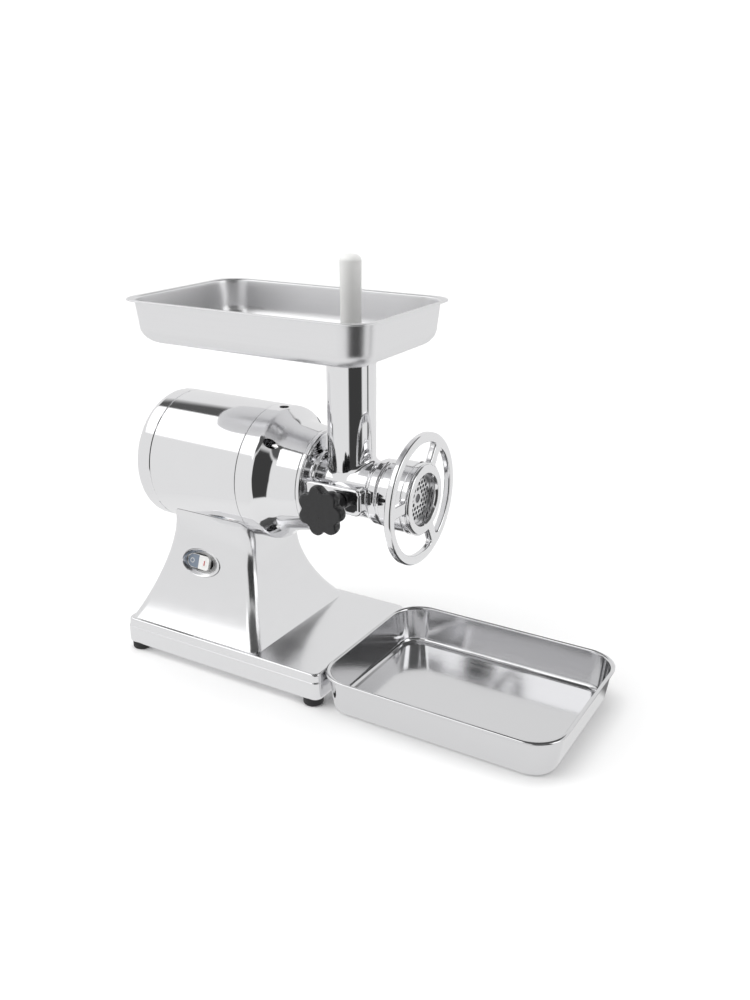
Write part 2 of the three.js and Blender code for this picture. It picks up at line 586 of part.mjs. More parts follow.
// The opening between two spokes: two arcs joined by rounded corners.
function spokeGap(after, before) {
  const { inner: outer, spokeHalf: half, fillet: r } = WHEEL;
  const inner = NUT.barrel + 0.4;
  const edge = (radius, side, spoke) => degrees(spoke) + side * Math.asin((half + r) / radius);
  const path = new THREE.Path();
  path.absarc(0, 0, outer, edge(outer, 1, after), edge(outer, -1, before), false);
  const corner = (radius, side, spoke) => {
    const along = Math.sqrt(radius * radius - (half + r) ** 2);
    const turn = degrees(spoke);
    return new THREE.Vector2(along * Math.cos(turn) - side * half * Math.sin(turn),
      along * Math.sin(turn) + side * half * Math.cos(turn));
  };
  path.quadraticCurveTo(...corner(outer, -1, before), ...corner(outer - 2 * r, -1, before));
  path.lineTo(...corner(inner + 2 * r, -1, before));
  const start = edge(inner + 1, -1, before);
  path.quadraticCurveTo(...corner(inner + 1, -1, before), inner * Math.cos(start), inner * Math.sin(start));
  path.absarc(0, 0, inner, start, edge(inner + 1, 1, after), true);
  path.quadraticCurveTo(...corner(inner + 1, 1, after), ...corner(inner + 2 * r, 1, after));
  path.lineTo(...corner(outer - 2 * r, 1, after));
  const end = edge(outer, 1, after);
  path.quadraticCurveTo(...corner(outer, 1, after), outer * Math.cos(end), outer * Math.sin(end));
  return path;
}

function ringNut() {
  const { rear, front, barrel, mouth, thread } = NUT;
  const lip = PLATE.rear + PLATE.thickness + 0.4;
  const nut = onAxis([[rear, thread], [rear, barrel - 1], [rear + 1, barrel], [front - 5, barrel],
    [front, barrel - 5], [front, mouth + 2], [front - 6, mouth], [lip, mouth], [lip, thread]]);
  const wheel = new THREE.Shape(circle(WHEEL.outer, 48));
  const nextSpokes = [...SPOKES.slice(1), SPOKES[0] + 360];
  SPOKES.forEach((spoke, i) => wheel.holes.push(spokeGap(spoke, nextSpokes[i])));
  wheel.holes.push(new THREE.Path(circle(barrel - 2, 24).reverse()));
  const plate = drawn(wheel, WHEEL.front - WHEEL.rear, FORWARD, [WHEEL.rear, 0, AXIS_Z], 4);
  return joined(nut, plate);
}

// ---- Trays and pusher ----
function trayLevel(tray, z, inset, r) {
  const halfLength = tray.length / 2 - inset;
  return level(z, tray.x - halfLength, tray.x + halfLength, tray.width / 2 - inset, r, 4);
}

// The [height, inset] points of the curve from a tray's floor up to its wall.
function trayCurve(bottom, foot, round, offset) {
  const reach = round - offset;
  return Array.from({ length: 4 }, (_, i) => {
    const angle = degrees(30 * i);
    return [bottom + offset + reach * (1 - Math.cos(angle)), foot + offset + reach * (1 - Math.sin(angle))];
  });
}

function feedTray() {
  const { rim, bottom, flange, sheet } = FEED;
  const corners = FEED_CORNERS;
  const foot = flange + 3;
  const wallLevel = (offset) => ([z, inset]) =>
    trayLevel(FEED, z, inset, corners.wall - offset - (inset - flange) / 2);
  const outer = trayCurve(bottom, foot, corners.floor, 0).map(wallLevel(0));
  const inner = trayCurve(bottom, foot, corners.floor, sheet).reverse().map(wallLevel(sheet));
  const edge = [
    trayLevel(FEED, rim - 2, flange, corners.wall),
    trayLevel(FEED, rim - 2, 0, corners.flange),
    trayLevel(FEED, rim, 0.5, corners.flange),
    trayLevel(FEED, rim, flange + sheet, corners.wall - sheet),
  ];
  const pan = loft([...outer, ...edge, ...inner]);
  const spigot = rodZ(0, 0, bottom - 14, bottom + 1, NECK.bore - GAP, 40);
  const throat = rodZ(0, 0, bottom - 20, bottom + 10, NECK.bore - 1.4, 40);
  return cut(joined(pan, spigot), throat);
}

function collectingTray() {
  const { rim, bottom, sheet } = CATCH;
  const corners = CATCH_CORNERS;
  const wallTop = BEAD - 0.8;
  const at = ([z, inset]) => trayLevel(CATCH, z, inset, Math.max(corners.least, corners.rim - inset));
  const outer = trayCurve(bottom, CATCH.inset, corners.floor, 0);
  const bead = [[rim - BEAD, wallTop], [rim - BEAD, 1], [rim - BEAD + 1, 0], [rim - 1.2, 0], [rim, 1.2],
    [rim, BEAD], [rim - 1.5, wallTop + sheet]];
  const inner = trayCurve(bottom, CATCH.inset, corners.floor, sheet).reverse();
  return loft([...outer, ...bead, ...inner].map(at));
}

function pusher() {
  const { bottom, shoulder, top, plunger, handle } = PUSHER;
  const stem = handle - 0.6;
  const stemTop = 450;
  const domeHeight = handle * 0.6;
  const dome = [0, 22.5, 45, 67.5].map((angle) =>
    [top - domeHeight * (1 - Math.sin(degrees(angle))), handle * Math.cos(degrees(angle))]);
  return aroundZ([[bottom, 0], [bottom, plunger - 2], [bottom + 2, plunger], [shoulder, plunger],
    [shoulder + 14, stem], [stemTop, stem], ...dome, [top, 0]], 0, 0, 24);
}

// ---- Electrical parts ----
function switchBezel() {
  const { openingHalfLength: length, openingHalfWidth: width } = ROCKER;
  const outline = roundedRectangle(SWITCH.shift - length, SWITCH.shift + length, -width, width, 2);
  const opening = new THREE.ExtrudeGeometry(outline, { depth: 30, bevelEnabled: false, curveSegments: 2 });
  const oval = switchTool(SWITCH.width - 0.8, SWITCH.height - 0.8, -9, -1);
  return cut(oval, solidFrom(onSwitch(opening.translate(0, 0, -20))));
}

function switchBody() {
  const box = new THREE.BoxGeometry(36, 23, 16);
  return solidFrom(onSwitch(box.translate(SWITCH.shift, 0, -22.5)));
}

// The rocker turns about the middle of its width and rests with its rear half pressed in.
function rocker() {
  const { halfLength: length, halfWidth: width } = ROCKER;
  const corners = [[-length, -9], [length, -6], [length, -1.5], [0, -4.3], [-length, -6.6]];
  const profile = new THREE.Shape(corners.map(([across, out]) => new THREE.Vector2(across, out)));
  const key = new THREE.ExtrudeGeometry(profile, { depth: 2 * width, bevelEnabled: false });
  return solidFrom(onSwitch(key.translate(SWITCH.shift, 0, -width).rotateX(Math.PI / 2)));
}

const capacitor = () => joined(rodX(-245, -175, 20, -5, 75), rodX(-176, -170, 6, -5, 75));
const terminalBlock = () => block(-160, -120, -20, 20, 47.5, 62);

function cableGland() {
  const { glandRear, flange, radius, z } = CABLE;
  const [bore, body] = [4.5, radius - GAP];
  const face = BASE.rear - GAP;
  return turned([[glandRear, bore], [glandRear, flange - 2], [glandRear + 2, flange], [face, flange],
    [face, body], [BASE.rear + 13, body], [BASE.rear + 13, bore]], 16, FORWARD, [0, 0, z]);
}

// ---- Assembly ----
const machine = new THREE.Group();
machine.position.x = -REST_CENTRE_X;

function add(name, solid, material) {
  const mesh = new THREE.Mesh(geometryFrom(solid), material);
  mesh.name = name;
  machine.add(mesh);
}

const FEET = [[-285, -100], [-285, 100], [2, -100], [2, 100]];

function addStand() {
  add("pedestal_base", pedestalBase(), polished());
  add("bottom_cover", bottomCover(), satinSteel());
  FEET.forEach(([x, y], i) => add(`foot_${i + 1}`, foot(x, y), blackRubber()));
}

function addMotor() {
  add("motor_shell", motorShell(), polished());
  add("rear_cap", rearCap(), polished());
  add("stator_core", statorCore(), darkSteel());
  add("winding_rear", winding(STATOR.rear - WINDING.length, STATOR.rear - GAP), copper());
  add("winding_front", winding(STATOR.front + GAP, STATOR.front + WINDING.length), copper());
  add("bearing_plate", bearingPlate(), machined());
  add("rotor_bearing_rear", bearing(-276, -264.5, 8.5, 18.2), machined());
  add("rotor_bearing_front", bearing(-129, -121.3, 8.5, 17.5), machined());
  add("rotor_core", rotorCore(), darkSteel());
  add("motor_shaft", motorShaft(), machined());
  add("cooling_fan", coolingFan(), blackPlastic());
}

function addGearing() {
  add("gear_case", gearCase(), polished());
  add("motor_pinion", motorPinion(), machined());
  add("layshaft", layshaft(), machined());
  add("first_stage_gear", firstStageGear(), machined());
  add("second_stage_pinion", secondStagePinion(), machined());
  add("output_gear", outputGear(), machined());
  add("output_shaft", outputShaft(), machined());
  add("lay_bearing_rear", bearing(-124.2, -118.5, 6, 11, LAY_Z), machined());
  add("lay_bearing_front", bearing(-67.5, -60.5, 4.5, 8, LAY_Z), machined());
  add("output_bearing_rear", bearing(-71, -64.4, 8.5, 17.4), machined());
  add("output_bearing_front", bearing(-64.1, -57, 8.5, 17.4), machined());
  add("output_seal", outputSeal(), blackRubber());
  add("filler_plug", fillerPlug(), satinSteel());
  const { angles, circle: screwCircle, seat, head } = CASE_SCREWS;
  angles.forEach((angle, i) => add(`case_screw_${i + 1}`,
    capScrew(seat + GAP, 8, head, ...polarYZ(screwCircle, angle)), satinSteel()));
}

function addSocket() {
  add("front_cover", frontCover(), polished());
  const { angles, circle: screwCircle, depth, head } = COVER_SCREWS;
  angles.forEach((angle, i) => add(`cover_screw_${i + 1}`,
    capScrew(SOCKET.face - depth + GAP, 4.5, head, ...polarYZ(screwCircle, angle)), satinSteel()));
  add("clamp_pad", clampPad(), brass());
  add("clamp_stud", clampStud(), satinSteel());
  add("star_knob", starKnob(), blackPlastic());
}

function addHead() {
  add("head_body", headBody(), polished());
  add("head_bush", headBush(), brass());
  add("plate_key", plateKey(), satinSteel());
  add("auger", auger(), satinSteel());
  add("cross_knife", crossKnife(), satinSteel());
  add("cutting_plate", cuttingPlate(), satinSteel());
  add("ring_nut", ringNut(), polished());
  add("feed_tray", feedTray(), satinSteel());
  add("pusher", pusher(), whitePlastic());
  add("collecting_tray", collectingTray(), satinSteel());
}

function addElectrics() {
  add("switch_bezel", switchBezel(), satinSteel());
  add("switch_body", switchBody(), blackPlastic());
  add("rocker", rocker(), whitePlastic());
  add("capacitor", capacitor(), greyPlastic());
  add("terminal_block", terminalBlock(), nylon());
  add("cable_gland", cableGland(), blackPlastic());
}

addStand();
addMotor();
addGearing();
addSocket();
addHead();
addElectrics();

export default machine;
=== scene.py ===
"""Electric meat grinder: fine surfaces, materials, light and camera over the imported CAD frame."""
import json
import math

import bpy
import bmesh
from mathutils import Matrix, Vector


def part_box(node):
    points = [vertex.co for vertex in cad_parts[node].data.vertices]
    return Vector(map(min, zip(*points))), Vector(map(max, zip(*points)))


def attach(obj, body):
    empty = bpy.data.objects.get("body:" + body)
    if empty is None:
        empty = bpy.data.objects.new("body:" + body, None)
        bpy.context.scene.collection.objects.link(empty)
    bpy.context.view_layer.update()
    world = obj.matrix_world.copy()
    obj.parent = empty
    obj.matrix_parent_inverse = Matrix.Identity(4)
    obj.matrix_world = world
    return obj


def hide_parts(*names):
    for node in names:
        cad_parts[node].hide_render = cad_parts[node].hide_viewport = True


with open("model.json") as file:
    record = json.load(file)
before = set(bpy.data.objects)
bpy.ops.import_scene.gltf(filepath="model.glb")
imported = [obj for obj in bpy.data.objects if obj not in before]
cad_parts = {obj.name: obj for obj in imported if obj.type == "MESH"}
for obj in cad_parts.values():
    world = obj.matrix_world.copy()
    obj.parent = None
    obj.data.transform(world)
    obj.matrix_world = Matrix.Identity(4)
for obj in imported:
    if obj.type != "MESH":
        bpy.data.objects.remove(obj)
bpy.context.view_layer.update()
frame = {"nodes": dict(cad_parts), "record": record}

# ---- Places from the frame; lengths below are millimetres from the feed neck's axis ----
MM = 0.001


def middle(node, axis):
    low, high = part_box(node)
    return (low[axis] + high[axis]) / 2 / MM


NECK_X = middle("pusher", 0)
AXIS_Z = middle("ring_nut", 2)
KNOB_X = middle("clamp_stud", 0) - NECK_X


def place(x, y, z):
    return Vector(((x + NECK_X) * MM, y * MM, z * MM))


# ---- Mesh building ----
def mesh_object(name, vertices, faces):
    mesh = bpy.data.meshes.new(name)
    mesh.from_pydata([place(*v) for v in vertices], [], faces)
    built = bmesh.new()
    built.from_mesh(mesh)
    bmesh.ops.remove_doubles(built, verts=built.verts, dist=1e-7)
    bmesh.ops.recalc_face_normals(built, faces=built.faces)
    built.to_mesh(mesh)
    built.free()
    piece = bpy.data.objects.new(name, mesh)
    bpy.context.collection.objects.link(piece)
    return piece


def rounded(outline, closed=True, steps=5):
    """Points along an outline of (along, radius, fillet) corners, each turned on a smooth curve."""
    corners = [(Vector(c[:2]), c[2] if len(c) > 2 else 0) for c in outline]
    points = []
    for i, (corner, fillet) in enumerate(corners):
        ends = not closed and i in (0, len(corners) - 1)
        if not fillet or ends:
            points.append(corner)
            continue
        before = corners[i - 1][0] - corner
        after = corners[(i + 1) % len(corners)][0] - corner
        reach = min(fillet, before.length * 0.49, after.length * 0.49)
        start = corner + before.normalized() * reach
        end = corner + after.normalized() * reach
        for k in range(steps + 1):
            t = k / steps
            points.append(start * (1 - t) ** 2 + corner * 2 * t * (1 - t) + end * t ** 2)
    return points


AXES = {
    "X": lambda a, c, s: (a, c, s),
    "Z": lambda a, c, s: (c, s, a),
    "-Y": lambda a, c, s: (c, -a, s),
}


def revolve(name, outline, axis="X", centre=None, segments=128, closed=True):
    centre = centre or (0, 0, AXIS_Z)
    vertices, rings = [], []
    for along, radius in outline:
        count = 1 if radius < 1e-6 else segments
        ring = []
        for i in range(count):
            angle = math.tau * i / segments
            offset = AXES[axis](along, radius * math.cos(angle), radius * math.sin(angle))
            ring.append(len(vertices))
            vertices.append([a + b for a, b in zip(centre, offset)])
        rings.append(ring)
    pairs = list(zip(rings, rings[1:])) + ([(rings[-1], rings[0])] if closed else [])
    faces = []
    for low, high in pairs:
        for i in range(segments):
            j = (i + 1) % segments
            quad = [low[i % len(low)], low[j % len(low)], high[j % len(high)], high[i % len(high)]]
            face = list(dict.fromkeys(quad))
            if len(face) > 2:
                faces.append(face)
    return mesh_object(name, vertices, faces)


def rod(name, start, end, radius, axis="X", centre=None, segments=64):
    outline = [(start, 0), (start, radius), (end, radius), (end, 0)]
    return revolve(name, outline, axis, centre, segments, closed=False)


def rounded_ring(z, x0, x1, half, radius, steps=10):
    """A rectangle at height z from x0 to x1 and from -half to half, with corners of a radius."""
    corners = ((x1 - radius, half - radius, 0), (x0 + radius, half - radius, 90),
               (x0 + radius, radius - half, 180), (x1 - radius, radius - half, 270))
    ring = []
    for cx, cy, start in corners:
        for i in range(steps + 1):
            angle = math.radians(start + 90 * i / steps)
            ring.append((cx + radius * math.cos(angle), cy + radius * math.sin(angle), z))
    return ring


def loft(name, rings, looped=False):
    """A skin over rings of as many points each, with flat ends unless it is looped."""
    count = len(rings[0])
    vertices = [v for ring in rings for v in ring]
    faces = []
    last = len(rings) if looped else len(rings) - 1
    for k in range(last):
        low, high = k * count, ((k + 1) % len(rings)) * count
        for i in range(count):
            j = (i + 1) % count
            faces.append((low + i, low + j, high + j, high + i))
    if not looped:
        faces.append(list(range(count))[::-1])
        faces.append([(len(rings) - 1) * count + i for i in range(count)])
    return mesh_object(name, vertices, faces)


def boolean(piece, tools, operation):
    for tool in tools:
        modifier = piece.modifiers.new("boolean", "BOOLEAN")
        modifier.operation = operation
        modifier.solver = "EXACT"
        modifier.object = tool
    bpy.context.view_layer.update()
    evaluated = piece.evaluated_get(bpy.context.evaluated_depsgraph_get())
    mesh = bpy.data.meshes.new_from_object(evaluated)
    piece.modifiers.clear()
    piece.data = mesh
    for tool in tools:
        bpy.data.objects.remove(tool)
    return piece


def cut(piece, *tools):
    return boolean(piece, tools, "DIFFERENCE")


def join(piece, *tools):
    return boolean(piece, tools, "UNION")


def flat_outline(name, outer, holes, thickness, bevel, basis):
    """A flat plate with rounded edges, from closed outlines in its own plane, moved by basis."""
    curve = bpy.data.curves.new(name, "CURVE")
    curve.dimensions = "2D"
    curve.fill_mode = "BOTH"
    curve.extrude = (thickness / 2 - bevel) * MM
    curve.bevel_depth = bevel * MM
    curve.bevel_resolution = 4
    curve.offset = -bevel * MM
    for outline in [outer, *holes]:
        spline = curve.splines.new("POLY")
        spline.points.add(len(outline) - 1)
        for point, (a, b) in zip(spline.points, outline):
            point.co = (a * MM, b * MM, 0, 1)
        spline.use_cyclic_u = True
    drawn = bpy.data.objects.new(name, curve)
    bpy.context.collection.objects.link(drawn)
    bpy.context.view_layer.update()
    evaluated = drawn.evaluated_get(bpy.context.evaluated_depsgraph_get())
    mesh = bpy.data.meshes.new_from_object(evaluated)
    bpy.data.objects.remove(drawn)
    mesh.transform(basis)
    built = bmesh.new()
    built.from_mesh(mesh)
    bmesh.ops.remove_doubles(built, verts=built.verts, dist=1e-6)
    bmesh.ops.recalc_face_normals(built, faces=built.faces)
    built.to_mesh(mesh)
    built.free()
    piece = bpy.data.objects.new(name, mesh)
    bpy.context.collection.objects.link(piece)
    return piece


def facing_forward(x):
    """Outline plane to the YZ plane at x, on the drive axis."""
    turn = Matrix(((0, 0, 1), (1, 0, 0), (0, 1, 0))).to_4x4()
    return Matrix.Translation(place(x, 0, AXIS_Z)) @ turn


def circle(radius, count, y=0, z=0):
    turns = [math.tau * i / count for i in range(count)]
    return [(y + radius * math.cos(turn), z + radius * math.sin(turn)) for turn in turns]


def finish_piece(piece, body, slot, material, *nodes, angle=32):
    """Shade a piece smoothly up to an angle, give it its material and body, hide replaced nodes.

    slot: not used.
    """
    for polygon in piece.data.polygons:
        polygon.use_smooth = True
    piece.data.set_sharp_from_angle(angle=math.radians(angle))
    weighted = piece.modifiers.new("weighted_normals", "WEIGHTED_NORMAL")
    weighted.keep_sharp = True
    piece.data.materials.clear()
    piece.data.materials.append(material)
    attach(piece, body)
    if nodes:
        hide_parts(*nodes)


# ---- Materials ----
METAL, NON_METAL = 1, 0
COARSE_RELIEF, FINE_RELIEF = 0.001, 0.0003  # metres


def surface(name, colour, metallic, roughness, spread=0.05, grain=(60, 60, 60), bump=0.0, fine=900,
            fine_bump=0.0, tint=0.03):
    """A procedural material.

    A noise stretched by grain moves roughness by spread, colour by tint and the relief by bump.
    A finer noise adds fine_bump to the relief.
    """
    material = bpy.data.materials.new(name)
    material.use_nodes = True
    nodes, links = material.node_tree.nodes, material.node_tree.links
    shader = nodes["Principled BSDF"]
    shader.inputs["Metallic"].default_value = metallic
    coordinates = nodes.new("ShaderNodeTexCoord")
    stretch = nodes.new("ShaderNodeMapping")
    stretch.inputs["Scale"].default_value = grain
    links.new(coordinates.outputs["Object"], stretch.inputs["Vector"])
    noise = nodes.new("ShaderNodeTexNoise")
    noise.inputs["Scale"].default_value = 1.0
    noise.inputs["Detail"].default_value = 4.0
    links.new(stretch.outputs["Vector"], noise.inputs["Vector"])
    rough = nodes.new("ShaderNodeMapRange")
    rough.inputs["To Min"].default_value = max(0.02, roughness - spread)
    rough.inputs["To Max"].default_value = roughness + spread
    links.new(noise.outputs["Fac"], rough.inputs["Value"])
    links.new(rough.outputs["Result"], shader.inputs["Roughness"])
    shade = nodes.new("ShaderNodeMix")
    shade.data_type = "RGBA"
    shade.inputs["A"].default_value = (*[c * (1 - tint) for c in colour], 1)
    shade.inputs["B"].default_value = (*[min(1, c * (1 + tint)) for c in colour], 1)
    links.new(noise.outputs["Fac"], shade.inputs["Factor"])
    links.new(shade.outputs["Result"], shader.inputs["Base Color"])
    grains = nodes.new("ShaderNodeTexNoise")
    grains.inputs["Scale"].default_value = fine
    grains.inputs["Detail"].default_value = 3.0
    links.new(coordinates.outputs["Object"], grains.inputs["Vector"])
    coarse_relief = nodes.new("ShaderNodeBump")
    coarse_relief.inputs["Strength"].default_value = bump
    coarse_relief.inputs["Distance"].default_value = COARSE_RELIEF
    links.new(noise.outputs["Fac"], coarse_relief.inputs["Height"])
    fine_relief = nodes.new("ShaderNodeBump")
    fine_relief.inputs["Strength"].default_value = fine_bump
    fine_relief.inputs["Distance"].default_value = FINE_RELIEF
    links.new(grains.outputs["Fac"], fine_relief.inputs["Height"])
    links.new(coarse_relief.outputs["Normal"], fine_relief.inputs["Normal"])
    links.new(fine_relief.outputs["Normal"], shader.inputs["Normal"])
    return material


polished = surface("polished_aluminium", (0.86, 0.86, 0.87), METAL, 0.07, spread=0.03,
                   grain=(25, 25, 25), bump=0.03, fine=1500, fine_bump=0.01, tint=0.015)
satin = surface("satin_stainless", (0.88, 0.88, 0.89), METAL, 0.34, spread=0.04,
                grain=(12, 320, 320), bump=0.006, fine=1800, fine_bump=0.01, tint=0.015)
bright_sheet = surface("bright_stainless", (0.75, 0.75, 0.76), METAL, 0.12, spread=0.05,
                       grain=(14, 260, 260), bump=0.006, fine=1500, fine_bump=0.01, tint=0.02)
casting = surface("burnished_casting", (0.84, 0.84, 0.85), METAL, 0.18, spread=0.05,
                  grain=(40, 40, 90), bump=0.02, fine=1300, fine_bump=0.02, tint=0.02)
steel = surface("machined_steel", (0.66, 0.67, 0.69), METAL, 0.28, spread=0.06,
                grain=(200, 200, 200), bump=0.02, fine=1600, fine_bump=0.04, tint=0.05)
# Dark steel for the filler plug and the case screws; on the auger and cross knife it is painted
# shade.
dark_steel_and_painted_shade = surface("darkened_steel_and_painted_shade", (0.2, 0.2, 0.21), METAL, 0.38, spread=0.08,
                     grain=(200, 200, 200), bump=0.03, fine=1600, fine_bump=0.06, tint=0.08)
core_steel = surface("varnished_sheet_steel", (0.16, 0.16, 0.18), METAL, 0.45, spread=0.08,
                     grain=(1400, 30, 30), bump=0.2, fine=900, fine_bump=0.05)
winding_copper = surface("enamelled_copper", (0.6, 0.26, 0.12), METAL, 0.35, spread=0.1,
                         grain=(60, 500, 500), bump=0.5, fine=900, fine_bump=0.1, tint=0.15)
machined = surface("machined_aluminium", (0.72, 0.73, 0.75), METAL, 0.3, spread=0.06,
                   grain=(90, 90, 90), bump=0.03, fine=1500, fine_bump=0.04)
brass = surface("brass", (0.72, 0.52, 0.22), METAL, 0.28, spread=0.08,
                grain=(150, 150, 150), bump=0.03, fine=1300, fine_bump=0.05, tint=0.06)
rubber = surface("black_rubber", (0.016, 0.016, 0.017), NON_METAL, 0.65, spread=0.1,
                 grain=(120, 120, 120), bump=0.05, fine=2200, fine_bump=0.2, tint=0.2)
black = surface("black_plastic", (0.017, 0.017, 0.018), NON_METAL, 0.24, spread=0.07,
                grain=(160, 160, 160), bump=0.06, fine=1900, fine_bump=0.16, tint=0.2)
white = surface("white_plastic", (0.8, 0.8, 0.785), NON_METAL, 0.32, spread=0.06,
                grain=(40, 40, 40), bump=0.02, fine=1500, fine_bump=0.04, tint=0.015)
grey = surface("grey_plastic", (0.42, 0.43, 0.45), NON_METAL, 0.4, spread=0.06,
               bump=0.02, fine=1500, fine_bump=0.05, tint=0.04)
cream = surface("cream_plastic", (0.74, 0.7, 0.58), NON_METAL, 0.45, spread=0.06,
                bump=0.02, fine=1500, fine_bump=0.05, tint=0.04)
red_ink = surface("red_marking", (0.6, 0.03, 0.03), NON_METAL, 0.4, tint=0.05)
# Painted shade: a blue-grey for the rocker's off half, standing in for the shade on its tilted
# face.
off_half_painted_shade = surface("off_half_painted_shade_plastic", (0.19, 0.23, 0.29), NON_METAL, 0.35,
                    bump=0.02, fine=1500, fine_bump=0.05, tint=0.04)

SLOT_MATERIALS = {
    "polished_aluminium": polished,
    "satin_stainless": satin,
    "steel": steel,
    "electrical_steel": core_steel,
    "copper_winding": winding_copper,
    "machined_aluminium": machined,
    "brass": brass,
    "black_rubber": rubber,
    "black_plastic": black,
    "white_plastic": white,
    "grey_plastic": grey,
    "cream_plastic": cream,
}
# The auger and cross knife are made dark as painted shade: the shade inside the barrel seen through
# the plate's holes.
PAINTED_SHADE_INSIDE_HEAD = ("auger", "cross_knife")


def dress_cad_nodes():
    """Give each CAD node its slot's material. The pieces made below replace most outer nodes."""
    for part in frame["record"]["subparts"]:
        node = frame["nodes"][part["node"]]
        material = SLOT_MATERIALS[part["material_slot"]]
        # Painted shade: the auger and cross knife take the dark steel instead of their slot's
        # material.
        if part["node"] in PAINTED_SHADE_INSIDE_HEAD:
            material = dark_steel_and_painted_shade
        for index in range(max(1, len(node.data.materials))):
            if len(node.data.materials) <= index:
                node.data.materials.append(None)
            node.data.materials[index] = material


# ---- Base and pedestal ----
BASE = dict(rear=-299.5, front=18, half=114, bottom=11.3, top=46.7, corner=11, wall=6)
COLUMN = dict(foot=42, top=207.5, corner=14.5, levels=44)
CABLE = dict(z=26, hole=8.3)
SHELL_RADIUS = 87.3
SHELL_SEGMENTS = 192
SWITCH = dict(x=-202.5, y=-62.3, z=130.5, tilt=19.6, shift=-6.5)
RECESS_WIDTH, RECESS_HEIGHT = 64, 38


def base_ring(z, inset):
    return rounded_ring(z, BASE["rear"] + inset, BASE["front"] - inset, BASE["half"] - inset,
                        max(3, BASE["corner"] - inset * 0.5))


def bezier(t, a, b, c, d):
    return a * (1 - t) ** 3 + 3 * b * t * (1 - t) ** 2 + 3 * c * t * t * (1 - t) + d * t ** 3


def column_ring(t, lift=0):
    """The flared column's section at t, 0 at the foot and 1 at the top; each face has its curve."""
    height = bezier(t, COLUMN["foot"], 75, 150, COLUMN["top"])
    rear_height = bezier(t, COLUMN["foot"], 70, 140, COLUMN["top"])
    half = bezier(t, 112, 78, 36, 70)
    front = bezier(t, -77, -103, -138, -113)
    rear = bezier(t, -298, -285, -262, -243) + (height - rear_height) * 0.2
    return rounded_ring(height + lift, rear, front, half, COLUMN["corner"], 12)


def switch_place(across, height, out):
    """A point given on the switch's own face: across to the front, up the face, and out of it."""
    tilt = math.radians(SWITCH["tilt"])
    return (SWITCH["x"] + across,
            SWITCH["y"] + height * math.sin(tilt) - out * math.cos(tilt),
            SWITCH["z"] + height * math.cos(tilt) + out * math.sin(tilt))


def oval_ring(width, height, out, count=72, shift=0):
    return [switch_place(shift + width / 2 * math.cos(math.tau * i / count),
                         height / 2 * math.sin(math.tau * i / count), out) for i in range(count)]


def make_pedestal():
    profile = rounded([
        (BASE["bottom"], 1.0, 0.8), (13, 0, 1),
        (34.6, 0, 0.8), (35.6, 0.9, 0.8),  # the crease round the slab
        (45, 1.7, 1.5), (BASE["top"], 3.2, 1.2), (BASE["top"], 6),
    ], closed=False)
    slab = loft("pedestal_base_skin", [base_ring(z, inset) for z, inset in profile])
    levels = COLUMN["levels"]
    sunk_foot, past_saddle = column_ring(0, -1), column_ring(1, 20)
    flare = [column_ring(i / levels) for i in range(levels + 1)]
    join(slab, loft("column", [sunk_foot, *flare, past_saddle]))
    wall = BASE["wall"]
    hollow = loft("hollow", [base_ring(BASE["bottom"] - 1, wall),
                             base_ring(BASE["top"] - wall, wall + 1)])
    saddle = rod("saddle", -330, -60, SHELL_RADIUS + 0.3, segments=SHELL_SEGMENTS)
    recess = loft("recess", [oval_ring(RECESS_WIDTH, RECESS_HEIGHT, out) for out in (-12, 18)])
    cable = rod("cable", BASE["rear"] - 5, BASE["rear"] + 15, CABLE["hole"],
                centre=(0, 0, CABLE["z"]))
    cut(slab, hollow, saddle, recess, cable)
    finish_piece(slab, "base", "polished_aluminium", casting, "pedestal_base", angle=28)


def make_feet():
    outline = rounded([(0, 0), (0, 11.6, 1.2), (1.6, 12.9, 1.2), (9.6, 12.9, 1.2),
                       (10.9, 11.6, 0.8), (10.9, 0)], closed=False)
    for number in range(1, 5):
        node = f"foot_{number}"
        centre = (middle(node, 0) - NECK_X, middle(node, 1), 0)
        foot = revolve(f"{node}_skin", outline, "Z", centre, 64, closed=False)
        finish_piece(foot, "base", "black_rubber", rubber, node)


# ---- Motor and gear case ----
SHELL_REAR, SHELL_FRONT, SHELL_BORE = -256.8, -118.2, 82
CAP_FILLET, CAP_BEND = 14, -272
VENTS = dict(count=6, circle=48, radius=8)


def make_motor():
    outline = rounded([(SHELL_REAR, SHELL_BORE), (SHELL_REAR, SHELL_RADIUS, 0.9),
                       (SHELL_FRONT, SHELL_RADIUS, 0.9), (SHELL_FRONT, SHELL_BORE)])
    shell = revolve("motor_shell_skin", outline, segments=SHELL_SEGMENTS)
    finish_piece(shell, "base", "polished_aluminium", polished, "motor_shell")

    turns = [math.radians(angle) for angle in range(0, 91, 9)]
    curve = [(CAP_BEND - CAP_FILLET * math.sin(turn),
              SHELL_RADIUS - CAP_FILLET + CAP_FILLET * math.cos(turn)) for turn in turns]
    outline = [(-257.3, 81.5), (-257.3, SHELL_RADIUS - 0.7), (-258.1, SHELL_RADIUS), *curve,
               (-286, 34), (-285, 30), (-285, 0), (-281, 0), (-281, 74), (-272, 81.5)]
    cap = revolve("rear_cap_skin", outline, segments=SHELL_SEGMENTS)
    vents = [rod(f"vent_{i}", -290, -275, VENTS["radius"], centre=(0, y, AXIS_Z + z))
             for i, (y, z) in enumerate(circle(VENTS["circle"], VENTS["count"]))]
    finish_piece(cut(cap, *vents), "base", "polished_aluminium", polished, "rear_cap")


CASE_SCREW_ANGLES = (45, 135, 225, 315)
CASE_SCREW_CIRCLE = 79
FILLER_X = -101


def on_circle(radius, angle):
    turn = math.radians(angle)
    return (0, radius * math.cos(turn), AXIS_Z + radius * math.sin(turn))


